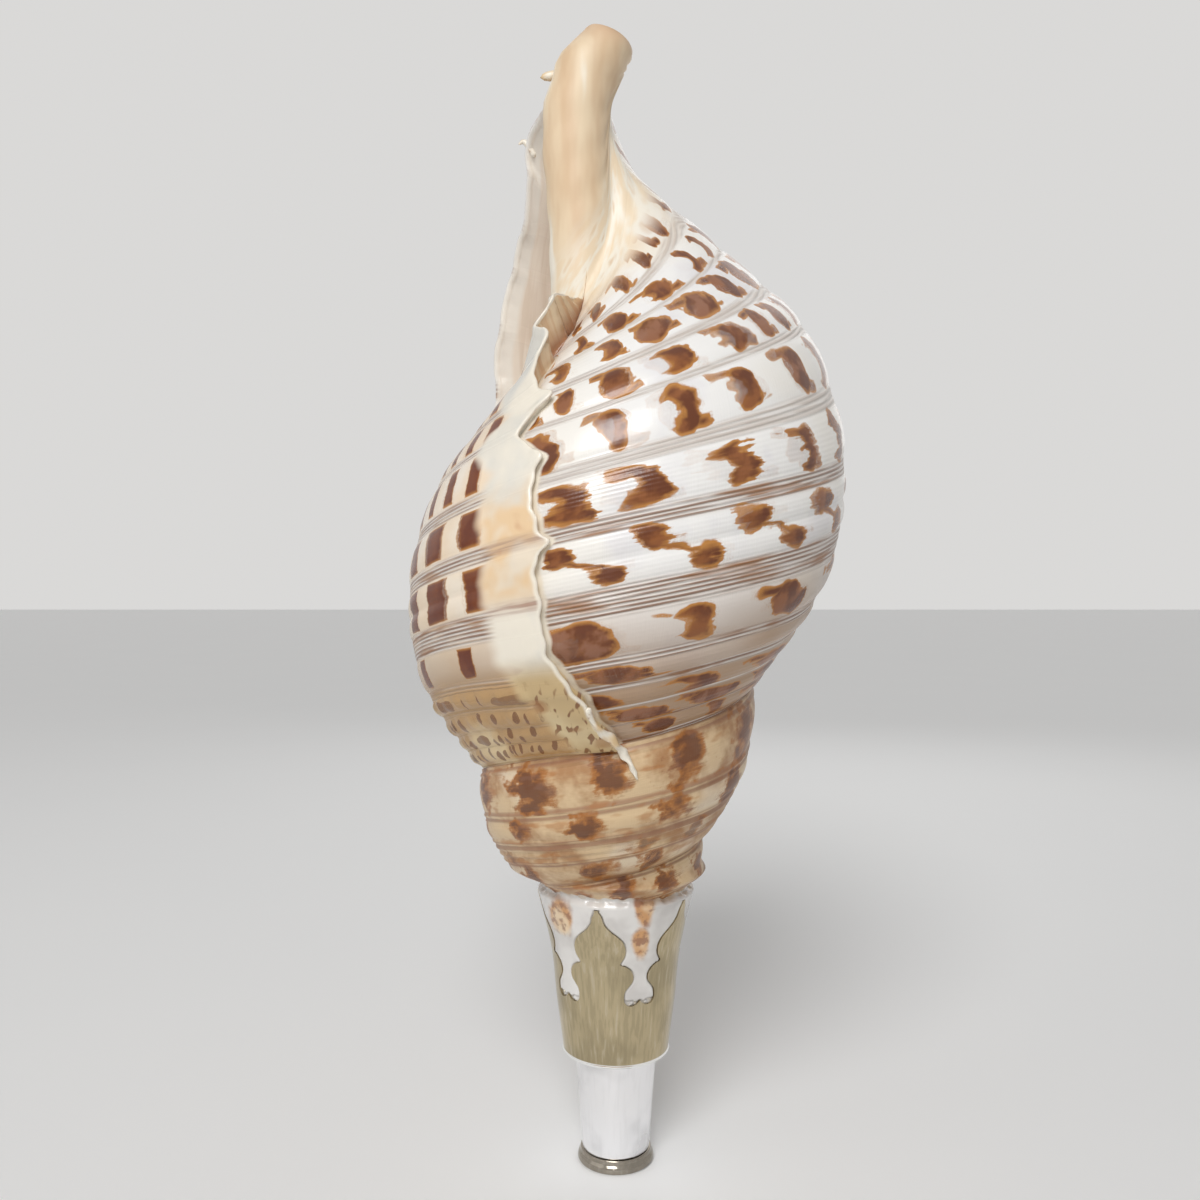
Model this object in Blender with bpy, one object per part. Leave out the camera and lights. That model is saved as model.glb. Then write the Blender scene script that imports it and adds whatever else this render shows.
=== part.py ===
"""A triton shell made into a horn, stood on its metal mouthpiece with the canal upward.

The shell is one skin that grows by a fixed ratio each turn. Below it are the plaster seat,
the pierced sleeve, the tapered pipe and the rim that the horn is blown through.
Metres, +Z up, and the shell's own axis is upright.
"""

import math

import bmesh
import bpy
import numpy as np

# growth of the shell: angles are degrees round the axis, and 0 is the edge of the outer lip
RATIO = 1.769  # one turn is this much bigger than the last
SIZE_AT_LIP = 0.1692  # the length that every size in a section is a multiple of
APEX_Z = 0.0503  # where the spiral would end
LIP_AZIMUTH = 115.5  # from +X, the way that the shell grows
RIB_AZIMUTH = -222.0  # the lip of the last pause in growth, now a rib across the back
OLDEST = -1420.0  # the spire is sawn off here, inside the plaster
SWELL, SWELL_ANGLE, SWELL_WIDTH = 0.20, -825.0, 62.0  # one side of an old turn is fuller than the rest
BEND, BEND_FROM, BEND_LENGTH = 0.006, 0.165, 0.06  # the old end of the spire bends to the back

# sections as (height, radius), both in multiples of the size at that angle
BODY = (
    (1.0, 0.42), (1.04, 0.452), (1.10, 0.495), (1.21, 0.578), (1.37, 0.650), (1.54, 0.675), (1.70, 0.668),
    (1.85, 0.63), (2.03, 0.545), (2.18, 0.41), (2.30, 0.28), (2.39, 0.16), (2.50, 0.02), (2.62, -0.12),
)
SPIRE = (
    (1.0, 0.42), (1.04, 0.475), (1.10, 0.55), (1.23, 0.645), (1.34, 0.700), (1.55, 0.745), (1.769, 0.743),
    (1.90, 0.66), (2.03, 0.56), (2.18, 0.41), (2.30, 0.28), (2.39, 0.16), (2.50, 0.02), (2.62, -0.12),
)
SECTION_END = 2.5
# the last turn draws in under the canal, but not near the lip
DRAWN_IN = ((1.9, 0.0), (2.03, 0.010), (2.157, 0.038), (2.255, 0.052), (2.352, 0.066), (2.45, 0.050), (2.62, 0.0))
DRAWN_FROM, DRAWN_OVER = -8.0, 38.0
# at the lip the section stays full and then drops across to the canal
LIP_DROP = ((2.15, 0.0), (2.22, 0.0), (2.26, 0.08), (2.30, 0.22), (2.34, 0.24), (2.39, 0.17), (2.5, 0.05), (2.62, 0.0))
DRAWN_MORE, DRAWN_ANGLE, DRAWN_WIDTH = 2.0, -66.0, 33.0
# how far the lip and the rib run on past their own angle, and how far they flare out, down the section
LIP_REACH = (
    (1.0, 36.0), (1.08, 26.0), (1.18, 17.0), (1.32, 6.0), (1.5, 0.0), (1.75, -0.5), (2.0, -2.5), (2.1, -2.2),
    (2.2, 1.0), (2.3, 4.0), (2.5, 4.0),
)
RIB_REACH = (
    (1.0, 25.0), (1.10, 16.2), (1.167, 12.8), (1.22, 9.4), (1.28, 5.6), (1.36, 3.6), (1.5, 2.8), (1.7, 1.6),
    (1.9, -0.6), (2.05, -2.6), (2.15, -6.2), (2.25, -9.8), (2.32, -11.0), (2.5, -12.0),
)
RIB_FLARE = (
    (1.0, 0.004), (1.1, 0.0055), (1.3, 0.0035), (1.6, 0.003), (1.9, 0.003), (2.05, 0.0045), (2.15, 0.009),
    (2.25, 0.0150), (2.34, 0.0165), (2.42, 0.011), (2.5, 0.003),
)
LIP_FLARE = (
    (1.0, 0.002), (1.1, 0.004), (1.3, 0.005), (1.9, 0.005), (2.1, 0.003), (2.2, 0.005), (2.26, 0.004), (2.34, 0.001),
    (2.5, 0.0),
)
FLARE_LENGTH = 46.0  # degrees of growth over which a flare rises

# the canal: its middle and radius up the axis
CANAL_X = ((0.25, -0.0075), (0.40, -0.0079), (0.43, -0.0042), (0.440, 0.0002), (0.450, 0.0048))
CANAL_Y = ((0.25, 0.0), (0.40, 0.0005), (0.43, 0.0022), (0.440, 0.0036), (0.450, 0.0055))
CANAL_RADIUS = ((0.25, 0.0128), (0.40, 0.0130), (0.43, 0.0140), (0.441, 0.0132), (0.450, 0.0118))
CANAL_TOP = 0.4437
CANAL_SLOPE = 0.45  # its mouth is cut on a slant, lower on the right
CANAL_BLEND = 0.016
CROWD_FROM, CROWD_TO = 0.425, 0.442  # the section is squeezed under the canal's mouth
CHANNEL_DEPTH = 0.55  # of the canal's radius, on the side of the opening

WALL = 0.0036
INNER_WALL = 0.0006
ROLL = 0.0020  # half the thickness of the lip's rolled edge
HOLLOW_END = -640.0

COLUMNS = tuple(range(-360, -240, 8)) + (-240, -233, -227, -222, -220, -214) + tuple(range(-206, 0, 8)) + (-6,)
LOW_ROWS = (1.0, 1.035, 1.10, 1.20, 1.32, 1.46, 1.61, RATIO)
HIGH_ROWS = (1.84, 1.93, 2.03, 2.12, 2.20, 2.27, 2.34, 2.40, 2.45, SECTION_END)
CANAL_ROWS = 4
HOLLOW_ROWS = (1.05, 1.13, 1.25, 1.42, 1.60, 1.78, 1.95, 2.10, 2.22, 2.33, 2.42)
HOLLOW_STEP = 15.0
LIP_FOLDS = 4

# the mouthpiece, which stands on its rim
MOUTH_X, MOUTH_Y = 0.0067, 0.0085
RIM_PROFILE = (
    (0.0118, 0.0), (0.0146, 0.0), (0.0152, 0.0009), (0.0149, 0.0024), (0.0141, 0.0036), (0.0140, 0.0050),
    (0.0116, 0.0050), (0.0115, 0.0075), (0.0068, 0.0170), (0.0066, 0.0240), (0.0054, 0.0240), (0.0054, 0.0165),
    (0.0096, 0.0065), (0.0113, 0.0014),
)
TUBE_PROFILE = (
    (0.0134, 0.0053), (0.0151, 0.0290), (0.0164, 0.0440), (0.0178, 0.0600), (0.0168, 0.0600), (0.0154, 0.0440),
    (0.0141, 0.0290), (0.0123, 0.0053),
)
SLEEVE_OUTER = ((0.0208, 0.0440), (0.0238, 0.0665), (0.0254, 0.0822), (0.0298, 0.1020), (0.0312, 0.1072))
SLEEVE_WALL = 0.0009
LEAVES = 5
LEAF_AZIMUTH = 255.5
# half of the gap between two leaves, as (degrees from its middle, height)
GAP = (
    (34.6, 0.1150), (34.6, 0.1064), (32.5, 0.1045), (30.8, 0.1015), (26.8, 0.0990), (21.0, 0.0966), (16.5, 0.0943),
    (14.4, 0.0914), (15.2, 0.0885), (18.6, 0.0855), (14.0, 0.0846), (9.4, 0.0830), (7.0, 0.0808), (7.6, 0.0785),
    (11.0, 0.0765), (14.0, 0.0748), (15.0, 0.0726), (14.3, 0.0706), (11.5, 0.0692), (8.2, 0.0689), (4.0, 0.0694),
    (0.0, 0.0708),
)
SEAT_TOP = ((0.0315, 0.1083), (0.0323, 0.1108), (0.0330, 0.1136), (0.0326, 0.1145))
SEAT_FLOOR = (0.0605, 0.0672)
BREATH_HOLE = 0.006
FIT_GAP = 0.0003
GROUND_IN, GROUND_TOP, GROUND_RISE = 0.0036, 0.107, 62.0  # the spire is ground down to go inside the sleeve
PACKED_TO = 0.121
SEAT_GAP = 0.0011
SEGMENTS = 36


def smooth_table(table, at):
    """A smooth curve through a table's points."""
    known = np.array([row[0] for row in table], float)
    value = np.array([row[1] for row in table], float)
    slope = np.gradient(value, known)
    at = np.clip(np.asarray(at, float), known[0], known[-1])
    place = np.clip(np.searchsorted(known, at, side="right") - 1, 0, len(known) - 2)
    width = known[place + 1] - known[place]
    t = (at - known[place]) / width
    low, high = value[place], value[place + 1]
    return (
        low * (1 + 2 * t) * (1 - t) ** 2
        + high * t * t * (3 - 2 * t)
        + width * t * (1 - t) * (slope[place] * (1 - t) - slope[place + 1] * t)
    )


def ease(t):
    t = np.clip(t, 0.0, 1.0)
    return t * t * (3 - 2 * t)


def size_at(angle):
    return SIZE_AT_LIP * RATIO ** (np.asarray(angle, float) / 360.0)


def swelling(angle):
    return 1 + SWELL * np.exp(-(((angle - SWELL_ANGLE) / SWELL_WIDTH) ** 2))


def section_radius(angle, height):
    """The section's radius: older turns are broader, and each starts where the turn before it is covered."""
    body = ease((angle + 450.0) / 130.0)
    radius = smooth_table(BODY, height) * body + smooth_table(SPIRE, height) * (1 - body)
    before = ease((angle + 90.0) / 130.0)
    seam = smooth_table(BODY, RATIO) * before + smooth_table(SPIRE, RATIO) * (1 - before)
    start = seam / RATIO * swelling(angle - 360.0) - 0.42 * swelling(angle)
    more = 1 + DRAWN_MORE * np.exp(-(((angle - DRAWN_ANGLE) / DRAWN_WIDTH) ** 2))
    drawn = smooth_table(DRAWN_IN, height) * more * ease((DRAWN_FROM - angle) / DRAWN_OVER) * body
    drawn = drawn + smooth_table(LIP_DROP, height) * ease((angle + 42.0) / 34.0)
    return radius * swelling(angle) - drawn + start * np.exp(-(height - 1.0) / 0.09)


def squeezed(z):
    room = CROWD_TO - CROWD_FROM
    return np.where(z > CROWD_FROM, CROWD_FROM + room * (1 - np.exp(-np.maximum(z - CROWD_FROM, 0.0) / room)), z)


def canal_radius(angle, z):
    """The canal's radius from the shell's axis, with its open channel on the side of the mouth."""
    way = np.radians(angle + LIP_AZIMUTH)
    x, y, radius = smooth_table(CANAL_X, z), smooth_table(CANAL_Y, z), smooth_table(CANAL_RADIUS, z)
    along = x * np.cos(way) + y * np.sin(way)
    open_side = 1 - ease((angle + 330.0) / 46.0)
    radius = radius * (1 - CHANNEL_DEPTH * open_side * ease((z - 0.30) / 0.06))
    return along + np.sqrt(np.maximum(radius ** 2 - (x * x + y * y - along ** 2), 1e-6))


def joined(a, b, reach):
    near = np.maximum(reach - np.abs(a - b), 0.0) / reach
    return np.maximum(a, b) + near * near * reach * 0.25


def flare(angle, height):
    """How far the old lip and the lip stand out from the plain section."""
    from_rib = angle - RIB_AZIMUTH - smooth_table(RIB_REACH, height)
    rise = np.where(from_rib <= 0.01, np.clip(1 + from_rib / FLARE_LENGTH, 0, 1) ** 2.2, 0.0)
    out = smooth_table(RIB_FLARE, height) * rise
    from_lip = angle - smooth_table(LIP_REACH, height)
    return out + smooth_table(LIP_FLARE, height) * np.clip(1 + from_lip / FLARE_LENGTH, 0, 1) ** 1.6


def plain_section(angle, height):
    size = size_at(angle)
    z = squeezed(APEX_Z + size * height)
    return joined(size * section_radius(angle, height), canal_radius(angle, z), CANAL_BLEND), z


def skin_frame(angle, height):
    """Radius and height on the plain skin, and the outward direction in the plane through the axis."""
    radius, z = plain_section(angle, height)
    r_up, z_up = plain_section(angle, height + 0.004)
    r_down, z_down = plain_section(angle, height - 0.004)
    dr, dz = r_up - r_down, z_up - z_down
    length = np.sqrt(dr * dr + dz * dz)
    return radius, z, dz / length, -dr / length


def seat_room(z):
    """The radius about the mouthpiece's axis that the ground end of the spire fills."""
    sleeve = smooth_table([(h, r) for r, h in SLEEVE_OUTER], z)
    return sleeve - GROUND_IN + GROUND_RISE * np.maximum(z - GROUND_TOP, 0.0) ** 2


def around(angle, radius, z):
    """A point from its angle, radius and height, where the old end is bent back and ground to fit the sleeve."""
    way = np.radians(np.asarray(angle, float) + LIP_AZIMUTH)
    bend = BEND * ease((BEND_FROM - z) / BEND_LENGTH)
    x, y = radius * np.cos(way) - MOUTH_X, radius * np.sin(way) + bend - MOUTH_Y
    share = seat_room(z) / np.maximum(np.hypot(x, y), 1e-6)
    packed = 1 + (np.clip(share, 1.0, 1.15) - 1) * ease((PACKED_TO - z) / 0.009)
    ground = np.where(share < 1, share, packed)
    return np.stack([MOUTH_X + x * ground, MOUTH_Y + y * ground, z + 0 * radius], axis=-1)


def skin(angle, height):
    """A point of the outer skin."""
    radius, z, nr, nz = skin_frame(angle, height)
    move = flare(angle, height)
    return around(angle, radius + move * nr, z + move * nz)


def canal_skin(angle, share):
    """A point of the canal above the section: 0 is where the section ends and 1 is its mouth."""
    start = squeezed(APEX_Z + size_at(angle) * SECTION_END)
    way = np.radians(angle + LIP_AZIMUTH)
    end = CANAL_TOP - CANAL_SLOPE * 0.013 * np.cos(way)
    z = start + (end - start) * share
    r0, z0 = plain_section(angle, SECTION_END)
    radius = canal_radius(angle, z)
    first = r0 - canal_radius(angle, z0)
    return around(angle, radius + first * (1 - share) ** 3, z)


def lean(angle, height):
    """How far a column of the last turn leans to follow the rib's edge and the lip's edge."""
    rib = ease(1 - np.abs(angle - RIB_AZIMUTH) / 70.0)
    lip = ease((angle + 70.0) / 70.0)
    return smooth_table(RIB_REACH, height) * rib + smooth_table(LIP_REACH, height) * lip


def covered_lean(angle, height):
    """The same for the skin where the next turn lies over it."""
    above = smooth_table(LIP_REACH, np.maximum(height / RATIO, 1.0))
    below = LIP_REACH[0][1] * ease((height - 1.0) / (RATIO - 1.0))
    return np.where(height < RATIO, below, above)


class Weave:
    """Points and three-cornered faces of one closed skin."""

    def __init__(self):
        self.points = []
        self.faces = []

    def add(self, point):
        self.points.append([float(v) for v in point])
        return len(self.points) - 1

    def face(self, *corners):
        ring = [c for n, c in enumerate(corners) if c != corners[n - 1]]
        for n in range(1, len(ring) - 1):
            self.faces.append([ring[0], ring[n], ring[n + 1]])

    def strip(self, first, second):
        """Quads between two chains of the same length."""
        for n in range(len(first) - 1):
            self.face(first[n], first[n + 1], second[n + 1], second[n])

    def zip(self, first, second):
        """Triangles between two chains of different lengths, taking the nearer step each time."""
        a, b = 0, 0
        length = [self.along(first), self.along(second)]
        while a < len(first) - 1 or b < len(second) - 1:
            step_first = b == len(second) - 1 or (a < len(first) - 1 and length[0][a + 1] <= length[1][b + 1])
            if step_first:
                self.face(first[a], first[a + 1], second[b])
                a += 1
            else:
                self.face(first[a], second[b + 1], second[b])
                b += 1

    def along(self, chain):
        places = np.array([self.points[c] for c in chain])
        steps = np.linalg.norm(np.diff(places, axis=0), axis=1)
        total = np.concatenate([[0.0], np.cumsum(steps)])
        return total / total[-1]

    def fan(self, chain, middle):
        for n in range(len(chain)):
            self.face(chain[n - 1], chain[n], middle)

    def make(self, name, material, group):
        mesh = bpy.data.meshes.new(name)
        mesh.from_pydata(self.points, [], self.faces)
        mesh.validate()
        work = bmesh.new()
        work.from_mesh(mesh)
        bmesh.ops.recalc_face_normals(work, faces=work.faces[:])
        work.to_mesh(mesh)
        work.free()
        for polygon in mesh.polygons:
            polygon.use_smooth = True
        mesh.materials.append(material)
        made = bpy.data.objects.new(name, mesh)
        group.objects.link(made)
        return made


def column_angle(number):
    turn, place = divmod(number, len(COLUMNS))
    return COLUMNS[place] + 360.0 * turn


def weave_spiral(weave, first, last, rows):
    """Columns of the turns whose upper part is covered. A column's last row is the seam of the next turn."""
    count = len(COLUMNS)
    seam = len(LOW_ROWS) - 1
    grid = {}

    def seam_lean(number):
        angle = column_angle(number)
        return float(lean(angle, 1.0)) if number >= 0 else 0.0

    for number in range(last, first - 1, -1):
        angle = column_angle(number)
        for row, height in enumerate(rows):
            if number < 0 and row > seam:
                break
            if row == seam and (number + count, 0) in grid:
                grid[number, row] = grid[number + count, 0]
                continue
            if number >= 0:
                near = ease((-290.0 - angle) / 70.0)
                moved = lean(angle, height) + covered_lean(angle, height) * near
            else:
                moved = seam_lean(number + count) * ease((height - 1.0) / (RATIO - 1.0))
            grid[number, row] = weave.add(skin(angle + moved, height))
    return grid


def make_shell(material, group):
    """The whole shell: outer skin, rolled lip, hollow and canal, as one closed body."""
    weave = Weave()
    count = len(COLUMNS)
    rows = LOW_ROWS + HIGH_ROWS
    seam = len(LOW_ROWS) - 1
    top = len(rows) - 1 + CANAL_ROWS
    first = math.ceil((OLDEST + 360.0) / 360.0 * count)
    grid = weave_spiral(weave, first, count, rows)
    for number in range(0, count + 1):
        angle = column_angle(number)
        for step in range(1, CANAL_ROWS + 1):
            moved = lean(angle, SECTION_END) + covered_lean(angle, SECTION_END) * ease((-290.0 - angle) / 70.0)
            point = canal_skin(angle + moved, step / CANAL_ROWS)
            grid[number, len(rows) - 1 + step] = weave.add(point)
    for number in range(first, count):
        column = range(0, (seam if number < 0 else top) + 1)
        weave.strip([grid[number, r] for r in column], [grid[number + 1, r] for r in column])
    close_start(weave, grid, first, seam, count)
    folds = fold_lip(weave, grid, rows, top, count)
    inner = [grid[0, r] for r in range(seam + 1, top + 1)]
    outer = folds[-1][1:]
    hollow_out(weave, inner, outer, grid[count, 0])
    mouth = [grid[n, top] for n in range(0, count + 1)] + [fold[-1] for fold in folds]
    middle = weave.add(canal_middle(0.4475, 0.004))
    weave.fan(mouth, middle)
    return weave.make("shell", material, group)


def canal_middle(z, forward):
    x, y = smooth_table(CANAL_X, z), smooth_table(CANAL_Y, z)
    return (float(x) + forward * 0.7, float(y) - forward * 0.7, z)


def close_start(weave, grid, first, seam, count):
    """The sawn end of the spire."""
    ring = [grid[first, r] for r in range(seam + 1)]
    ring += [grid[number, 0] for number in range(first + count - 1, first, -1)]
    heights = [weave.points[c][2] for c in ring]
    middle = weave.add((0.0, 0.0, min(heights) + 0.3 * (max(heights) - min(heights))))
    weave.fan(ring, middle)


def fold_lip(weave, grid, rows, top, count):
    """The rolled edge of the lip: it turns from the outer skin round to the inner one."""
    folds = []
    for step in range(1, LIP_FOLDS + 1):
        turn = math.pi * step / LIP_FOLDS
        fold = [grid[count, 0]]
        for row in range(1, top + 1):
            if row < len(rows):
                height, small = rows[row], min(1.0, 0.35 + row / 4.0)
            else:
                height, small = SECTION_END, 0.8
            angle = float(lean(0.0, height))
            _, _, nr, nz = (float(v) for v in skin_frame(angle, height))
            way = math.radians(angle + LIP_AZIMUTH)
            out = np.array([nr * math.cos(way), nr * math.sin(way), nz])
            ahead = np.array([-math.sin(way), math.cos(way), 0.0])
            start = np.array(weave.points[grid[count, row]])
            back = 0.0015 * step / LIP_FOLDS
            move = ahead * (ROLL * math.sin(turn) - back) - out * ROLL * (1 - math.cos(turn))
            fold.append(weave.add(start + move * small))
        before = [grid[count, r] for r in range(top + 1)] if step == 1 else folds[-1]
        weave.strip(before, fold)
        folds.append(fold)
    return folds


def hollow_section(angle):
    """Points of the hollow at one angle: up its inner side, and up its outer side."""
    inner, outer = [], []
    for height in HOLLOW_ROWS:
        own = angle + float(lean(angle, height)) * (angle > -75.0)
        radius, z = (float(v) for v in plain_section(own, height))
        size = float(size_at(own - 360.0))
        old_height = (z - APEX_Z) / size
        old = size * float(section_radius(own - 360.0, min(old_height, 2.62)))
        old = float(joined(old, canal_radius(own - 360.0, z), CANAL_BLEND))
        _, _, nr, _ = (float(v) for v in skin_frame(own, height))
        wall = WALL if angle > -360 else WALL * 0.8
        chord = radius - old
        outside = min(wall / max(nr, 0.45), 0.45 * chord)
        inside = min(INNER_WALL, 0.1 * chord)
        inner.append(around(own, old + inside, z))
        outer.append(around(own, radius - outside, z))
    return inner, outer


def hollow_out(weave, inner_edge, outer_edge, corner):
    """The hollow that winds back from the opening, and the faces that join it to the opening's edge."""
    angles = np.arange(-6.0, HOLLOW_END, -HOLLOW_STEP)
    last_inner, last_outer = None, None
    for angle in angles:
        inner, outer = hollow_section(float(angle))
        inner = [weave.add(p) for p in inner]
        outer = [weave.add(p) for p in outer]
        if last_inner is None:
            weave.face(corner, outer_edge[0], inner_edge[0])
            weave.face(inner_edge[0], outer_edge[0], outer[0], inner[0])
            weave.zip(inner_edge, inner)
            weave.zip(outer, outer_edge)
            weave.face(outer_edge[-1], inner_edge[-1], inner[-1], outer[-1])
        else:
            weave.strip(last_inner, inner)
            weave.strip(outer, last_outer)
            weave.face(last_inner[0], last_outer[0], outer[0], inner[0])
            weave.face(last_outer[-1], last_inner[-1], inner[-1], outer[-1])
        last_inner, last_outer = inner, outer
    weave.strip(last_inner, last_outer)


def turned(name, profile, material, group, segments=SEGMENTS):
    """A ring turned from a closed profile of (radius, height) about the mouthpiece's axis."""
    mesh = bpy.data.meshes.new(name)
    work = bmesh.new()
    ring = [work.verts.new((r, 0.0, z)) for r, z in profile]
    edges = [work.edges.new((ring[n - 1], ring[n])) for n in range(len(ring))]
    bmesh.ops.spin(
        work, geom=ring + edges, cent=(0, 0, 0), axis=(0, 0, 1), angle=math.tau, steps=segments, use_merge=True,
    )
    bmesh.ops.remove_doubles(work, verts=work.verts[:], dist=1e-6)
    bmesh.ops.recalc_face_normals(work, faces=work.faces[:])
    work.to_mesh(mesh)
    work.free()
    for polygon in mesh.polygons:
        polygon.use_smooth = True
    mesh.materials.append(material)
    made = bpy.data.objects.new(name, mesh)
    made.location = (MOUTH_X, MOUTH_Y, 0.0)
    group.objects.link(made)
    return made


def sleeve_radius(z):
    return float(smooth_table([(h, r) for r, h in SLEEVE_OUTER], z))


def make_gap_cutter(number, material, group):
    """One gap between two leaves, as a prism pushed through the sleeve's wall."""
    middle = math.radians(LEAF_AZIMUTH + (number + 0.5) * 360.0 / LEAVES)
    outline = [(-a, z) for a, z in GAP] + [(a, z) for a, z in reversed(GAP[:-1])]
    mesh = bpy.data.meshes.new("gap_%d" % number)
    work = bmesh.new()
    rings = []
    for radius_share in (0.75, 1.6):
        ring = []
        for degrees, z in outline:
            radius = sleeve_radius(min(z, SLEEVE_OUTER[-1][1])) * radius_share
            way = middle + math.radians(degrees)
            ring.append(work.verts.new((radius * math.cos(way), radius * math.sin(way), z)))
        rings.append(ring)
    for n in range(len(outline)):
        work.faces.new((rings[0][n - 1], rings[0][n], rings[1][n], rings[1][n - 1]))
    work.faces.new(rings[0])
    work.faces.new(rings[1])
    bmesh.ops.triangulate(work, faces=[f for f in work.faces if len(f.verts) > 4])
    bmesh.ops.recalc_face_normals(work, faces=work.faces[:])
    work.to_mesh(mesh)
    work.free()
    mesh.materials.append(material)
    made = bpy.data.objects.new("gap_%d" % number, mesh)
    made.location = (MOUTH_X, MOUTH_Y, 0.0)
    made.hide_render = True
    made.display_type = "WIRE"
    group.objects.link(made)
    return made


def cut(thing, cutter):
    """Take one body out of another."""
    tool = thing.modifiers.new("cut", "BOOLEAN")
    tool.operation = "DIFFERENCE"
    tool.solver = "EXACT"
    tool.object = cutter


def make_sleeve(material, group, cutters):
    """The pierced sleeve: a tapered sheet with a ledge at the bottom and leaves along the top."""
    outer = [(r, z) for r, z in SLEEVE_OUTER]
    inner = [(r - SLEEVE_WALL, z) for r, z in reversed(SLEEVE_OUTER[1:])]
    ledge = [(0.0199, 0.0452), (0.0170, 0.0452), (0.0170, 0.0440)]
    sleeve = turned("sleeve", outer + inner + ledge, material, group, 40)
    for number in range(LEAVES):
        cut(sleeve, make_gap_cutter(number, material, cutters))
    return sleeve


def make_seat(material, group):
    """The plaster cup between the ground end of the spire and the sleeve, with a hole for the breath."""
    side = [(r - SLEEVE_WALL - FIT_GAP, z) for r, z in SLEEVE_OUTER[1:]]
    bottom = [(BREATH_HOLE, SEAT_FLOOR[0]), (sleeve_radius(SEAT_FLOOR[0]) - SLEEVE_WALL - FIT_GAP, SEAT_FLOOR[0])]
    heights = (SEAT_TOP[-1][1], 0.1115, 0.1070, 0.1020, 0.0940, 0.0822, SEAT_FLOOR[1])
    inside = [(float(seat_room(z)) + SEAT_GAP, z) for z in heights]
    return turned("seat", bottom + side + list(SEAT_TOP) + inside + [(BREATH_HOLE, SEAT_FLOOR[1])], material, group)


def material(name, colour, roughness, metallic=0.0):
    made = bpy.data.materials.new(name)
    made.use_nodes = True
    shader = made.node_tree.nodes["Principled BSDF"]
    shader.inputs["Base Color"].default_value = (*colour, 1.0)
    shader.inputs["Roughness"].default_value = roughness
    shader.inputs["Metallic"].default_value = metallic
    return made


def stand_in_middle(shell, groups):
    """Slide everything so that the origin is under the middle of the whole, at the foot."""
    places = np.array([corner.co[:2] for corner in shell.data.vertices])
    middle = (places.min(axis=0) + places.max(axis=0)) / 2
    for group in groups:
        for thing in group.objects:
            thing.location.x -= float(middle[0])
            thing.location.y -= float(middle[1])
    print("the shell's axis is at", -middle.round(5))


def main():
    for old in list(bpy.data.objects):
        bpy.data.objects.remove(old)
    group = bpy.data.collections.new("triton_shell")
    cutters = bpy.data.collections.new("cutters")
    bpy.context.scene.collection.children.link(group)
    bpy.context.scene.collection.children.link(cutters)
    shell = make_shell(material("shell", (0.80, 0.66, 0.52), 0.3), group)
    plaster = material("plaster", (0.88, 0.88, 0.87), 0.35)
    make_seat(plaster, group)
    make_sleeve(material("sleeve_metal", (0.78, 0.76, 0.70), 0.1, 1.0), group, cutters)
    turned("tube", TUBE_PROFILE, material("tube_metal", (0.80, 0.80, 0.80), 0.1, 1.0), group)
    turned("rim", RIM_PROFILE, material("rim_metal", (0.74, 0.74, 0.72), 0.1, 1.0), group)
    stand_in_middle(shell, (group, cutters))


main()
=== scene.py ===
# %% [markdown]
# # A triton shell made into a horn
#
# The real object is a large sea shell with its spire sawn off and set in plaster, and a
# polished metal mouthpiece pushed over the plaster. It stands on the mouthpiece's rim.
# The solid model comes first. It fixes every size, and the finer pieces are laid over it.

# %% Load the solid model
import math

import bmesh
import bpy
import numpy as np
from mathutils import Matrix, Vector
from mathutils.bvhtree import BVHTree


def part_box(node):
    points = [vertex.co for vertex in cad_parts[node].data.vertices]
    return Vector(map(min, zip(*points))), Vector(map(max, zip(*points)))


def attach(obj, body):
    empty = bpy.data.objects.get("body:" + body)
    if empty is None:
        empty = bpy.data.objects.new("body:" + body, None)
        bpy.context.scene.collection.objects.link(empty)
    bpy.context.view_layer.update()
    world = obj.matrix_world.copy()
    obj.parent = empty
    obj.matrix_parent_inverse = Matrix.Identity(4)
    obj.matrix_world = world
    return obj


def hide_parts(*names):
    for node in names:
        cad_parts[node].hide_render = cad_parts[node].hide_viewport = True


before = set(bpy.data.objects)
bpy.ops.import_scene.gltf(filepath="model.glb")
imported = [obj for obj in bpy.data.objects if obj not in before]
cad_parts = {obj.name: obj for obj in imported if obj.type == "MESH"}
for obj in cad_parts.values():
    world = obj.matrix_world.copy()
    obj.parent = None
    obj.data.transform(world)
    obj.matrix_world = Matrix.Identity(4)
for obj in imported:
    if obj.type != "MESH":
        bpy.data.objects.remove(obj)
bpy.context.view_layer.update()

# %% [markdown]
# The mouthpiece is turned, so the middle of its rim is its axis. The shell's own axis runs
# upright a few millimetres to one side. Both are read from the rim's box.

# %% Find the two axes
RIM_LOW, RIM_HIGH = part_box("rim")
MOUTH_X, MOUTH_Y = 0.0067, 0.0085  # the mouthpiece's axis, measured from the shell's
AXIS_X = (RIM_LOW[0] + RIM_HIGH[0]) / 2 - MOUTH_X
AXIS_Y = (RIM_LOW[1] + RIM_HIGH[1]) / 2 - MOUTH_Y
FLOOR = RIM_LOW[2]
print("shell's axis at", round(AXIS_X, 4), round(AXIS_Y, 4), "floor at", FLOOR)

# %% [markdown]
# ## Camera
#
# The camera comes first, so that each piece is seen in its place as soon as it is made. It
# looks level from half the shell's height, close enough for the near side to look larger.

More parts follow.
